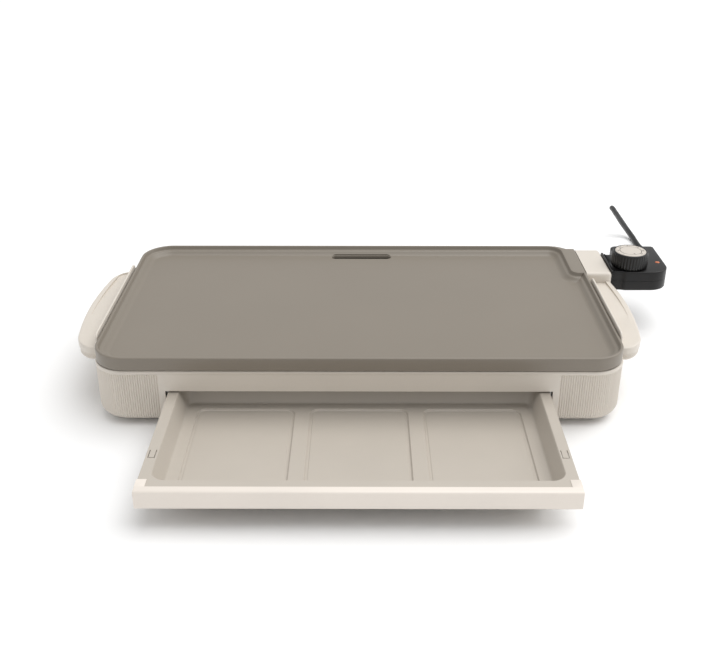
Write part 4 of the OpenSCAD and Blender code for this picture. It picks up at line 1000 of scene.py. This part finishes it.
def printed(text, turn):
    """A number as a thin raised mesh, set on the scale at its own angle."""
    words = bpy.data.curves.new("number", "FONT")
    words.body = text
    words.size = 2.9
    words.align_x = "CENTER"
    words.align_y = "CENTER"
    words.extrude = 0.02
    holder = bpy.data.objects.new("number", words)
    scene.collection.objects.link(holder)
    bpy.context.view_layer.update()
    mesh = bpy.data.meshes.new_from_object(holder.evaluated_get(bpy.context.evaluated_depsgraph_get()))
    bpy.data.objects.remove(holder)
    spot = Matrix.Translation(Vector((knob_mid.x, knob_mid.y, ink_z + 0.02))) @ Matrix.Rotation(turn, 4, "Z")
    mesh.transform(spot @ Matrix.Translation((0, disc_r - 3.6, 0)))
    scale_shape.from_mesh(mesh)


step_turn = -2 * math.pi * 270 / 360 / (len(settings) - 1)
for k, text in enumerate(settings):
    printed(text, math.pi * 0.75 + k * step_turn)
for k in range(4 * (len(settings) - 1) + 1):
    long_tick = k % 4 == 0
    fresh = set(scale_shape.verts)
    block(scale_shape, -0.14, 0.14, disc_r - (2.1 if long_tick else 1.6), disc_r - 0.9, ink_z - 0.02, ink_z + 0.04)
    turn = Matrix.Translation(knob_mid) @ Matrix.Rotation(math.pi * 0.75 + k * step_turn / 4, 4, "Z")
    bmesh.ops.transform(scale_shape, matrix=turn, verts=[v for v in scale_shape.verts if v not in fresh])
fresh = set(scale_shape.verts)
bmesh.ops.create_cone(scale_shape, cap_ends=True, segments=3, radius1=1.5, radius2=1.5, depth=0.06,
                      matrix=Matrix.Rotation(math.pi / 2, 4, "Z"))
mark = Matrix.Translation(Vector((knob_mid.x + 2.2, knob_mid.y - disc_r + 8.6, disc_top + 0.0)))
bmesh.ops.transform(scale_shape, matrix=mark, verts=[v for v in scale_shape.verts if v not in fresh])
groove_z = disc_top - 0.4
ring_in, ring_out = disc_r - 6.15, disc_r - 5.62
lathe(scale_shape, [(ring_in, groove_z - 0.05), (ring_in, groove_z + 0.1), (ring_out, groove_z + 0.1),
                    (ring_out, groove_z - 0.05), (ring_in, groove_z - 0.05)], UP, knob_mid, steps=96)
piece("dial_scale", scale_shape, ink, body="dial", slot="dial_cream")


# ---------------- table and light
# A plain white table under one very broad light from above, the right and a little behind, a soft
# box at the right and an even white room, so that shadows stay soft and close to the object.
table_shape = bmesh.new()
bmesh.ops.create_grid(table_shape, x_segments=2, y_segments=2, size=6)
table_z = -0.0772
move(table_shape, (0, 0, table_z))
table_mesh = bpy.data.meshes.new("table")
table_shape.to_mesh(table_mesh)
table_shape.free()
table = bpy.data.objects.new("table", table_mesh)
scene.collection.objects.link(table)
table_mesh.materials.append(surface("white_table", (0.96, 0.96, 0.96, 1), 0.8, tint=0.004, drift=400, grain=3,
                                    depth=0.004))

room = bpy.data.worlds.new("room")
scene.world = room
room.use_nodes = True
room.node_tree.nodes["Background"].inputs["Color"].default_value = (1, 1, 1, 1)
room.node_tree.nodes["Background"].inputs["Strength"].default_value = 0.63


def light_from(name, kind, place, energy, **settings):
    """A light that looks at the middle of the plate."""
    light = bpy.data.lights.new(name, kind)
    light.energy = energy
    for setting, value in settings.items():
        setattr(light, setting, value)
    made = bpy.data.objects.new(name, light)
    made.location = place
    made.rotation_euler = (-Vector(place)).to_track_quat("-Z", "Y").to_euler()
    scene.collection.objects.link(made)


light_from("broad_sky", "SUN", (0.55, 0.2, 1.6), 1.75, angle=math.radians(60))
light_from("right_box", "AREA", (1.5, 0.4, 0.9), 5, shape="RECTANGLE", size=0.9, size_y=0.9)
scene.view_settings.view_transform = "Standard"
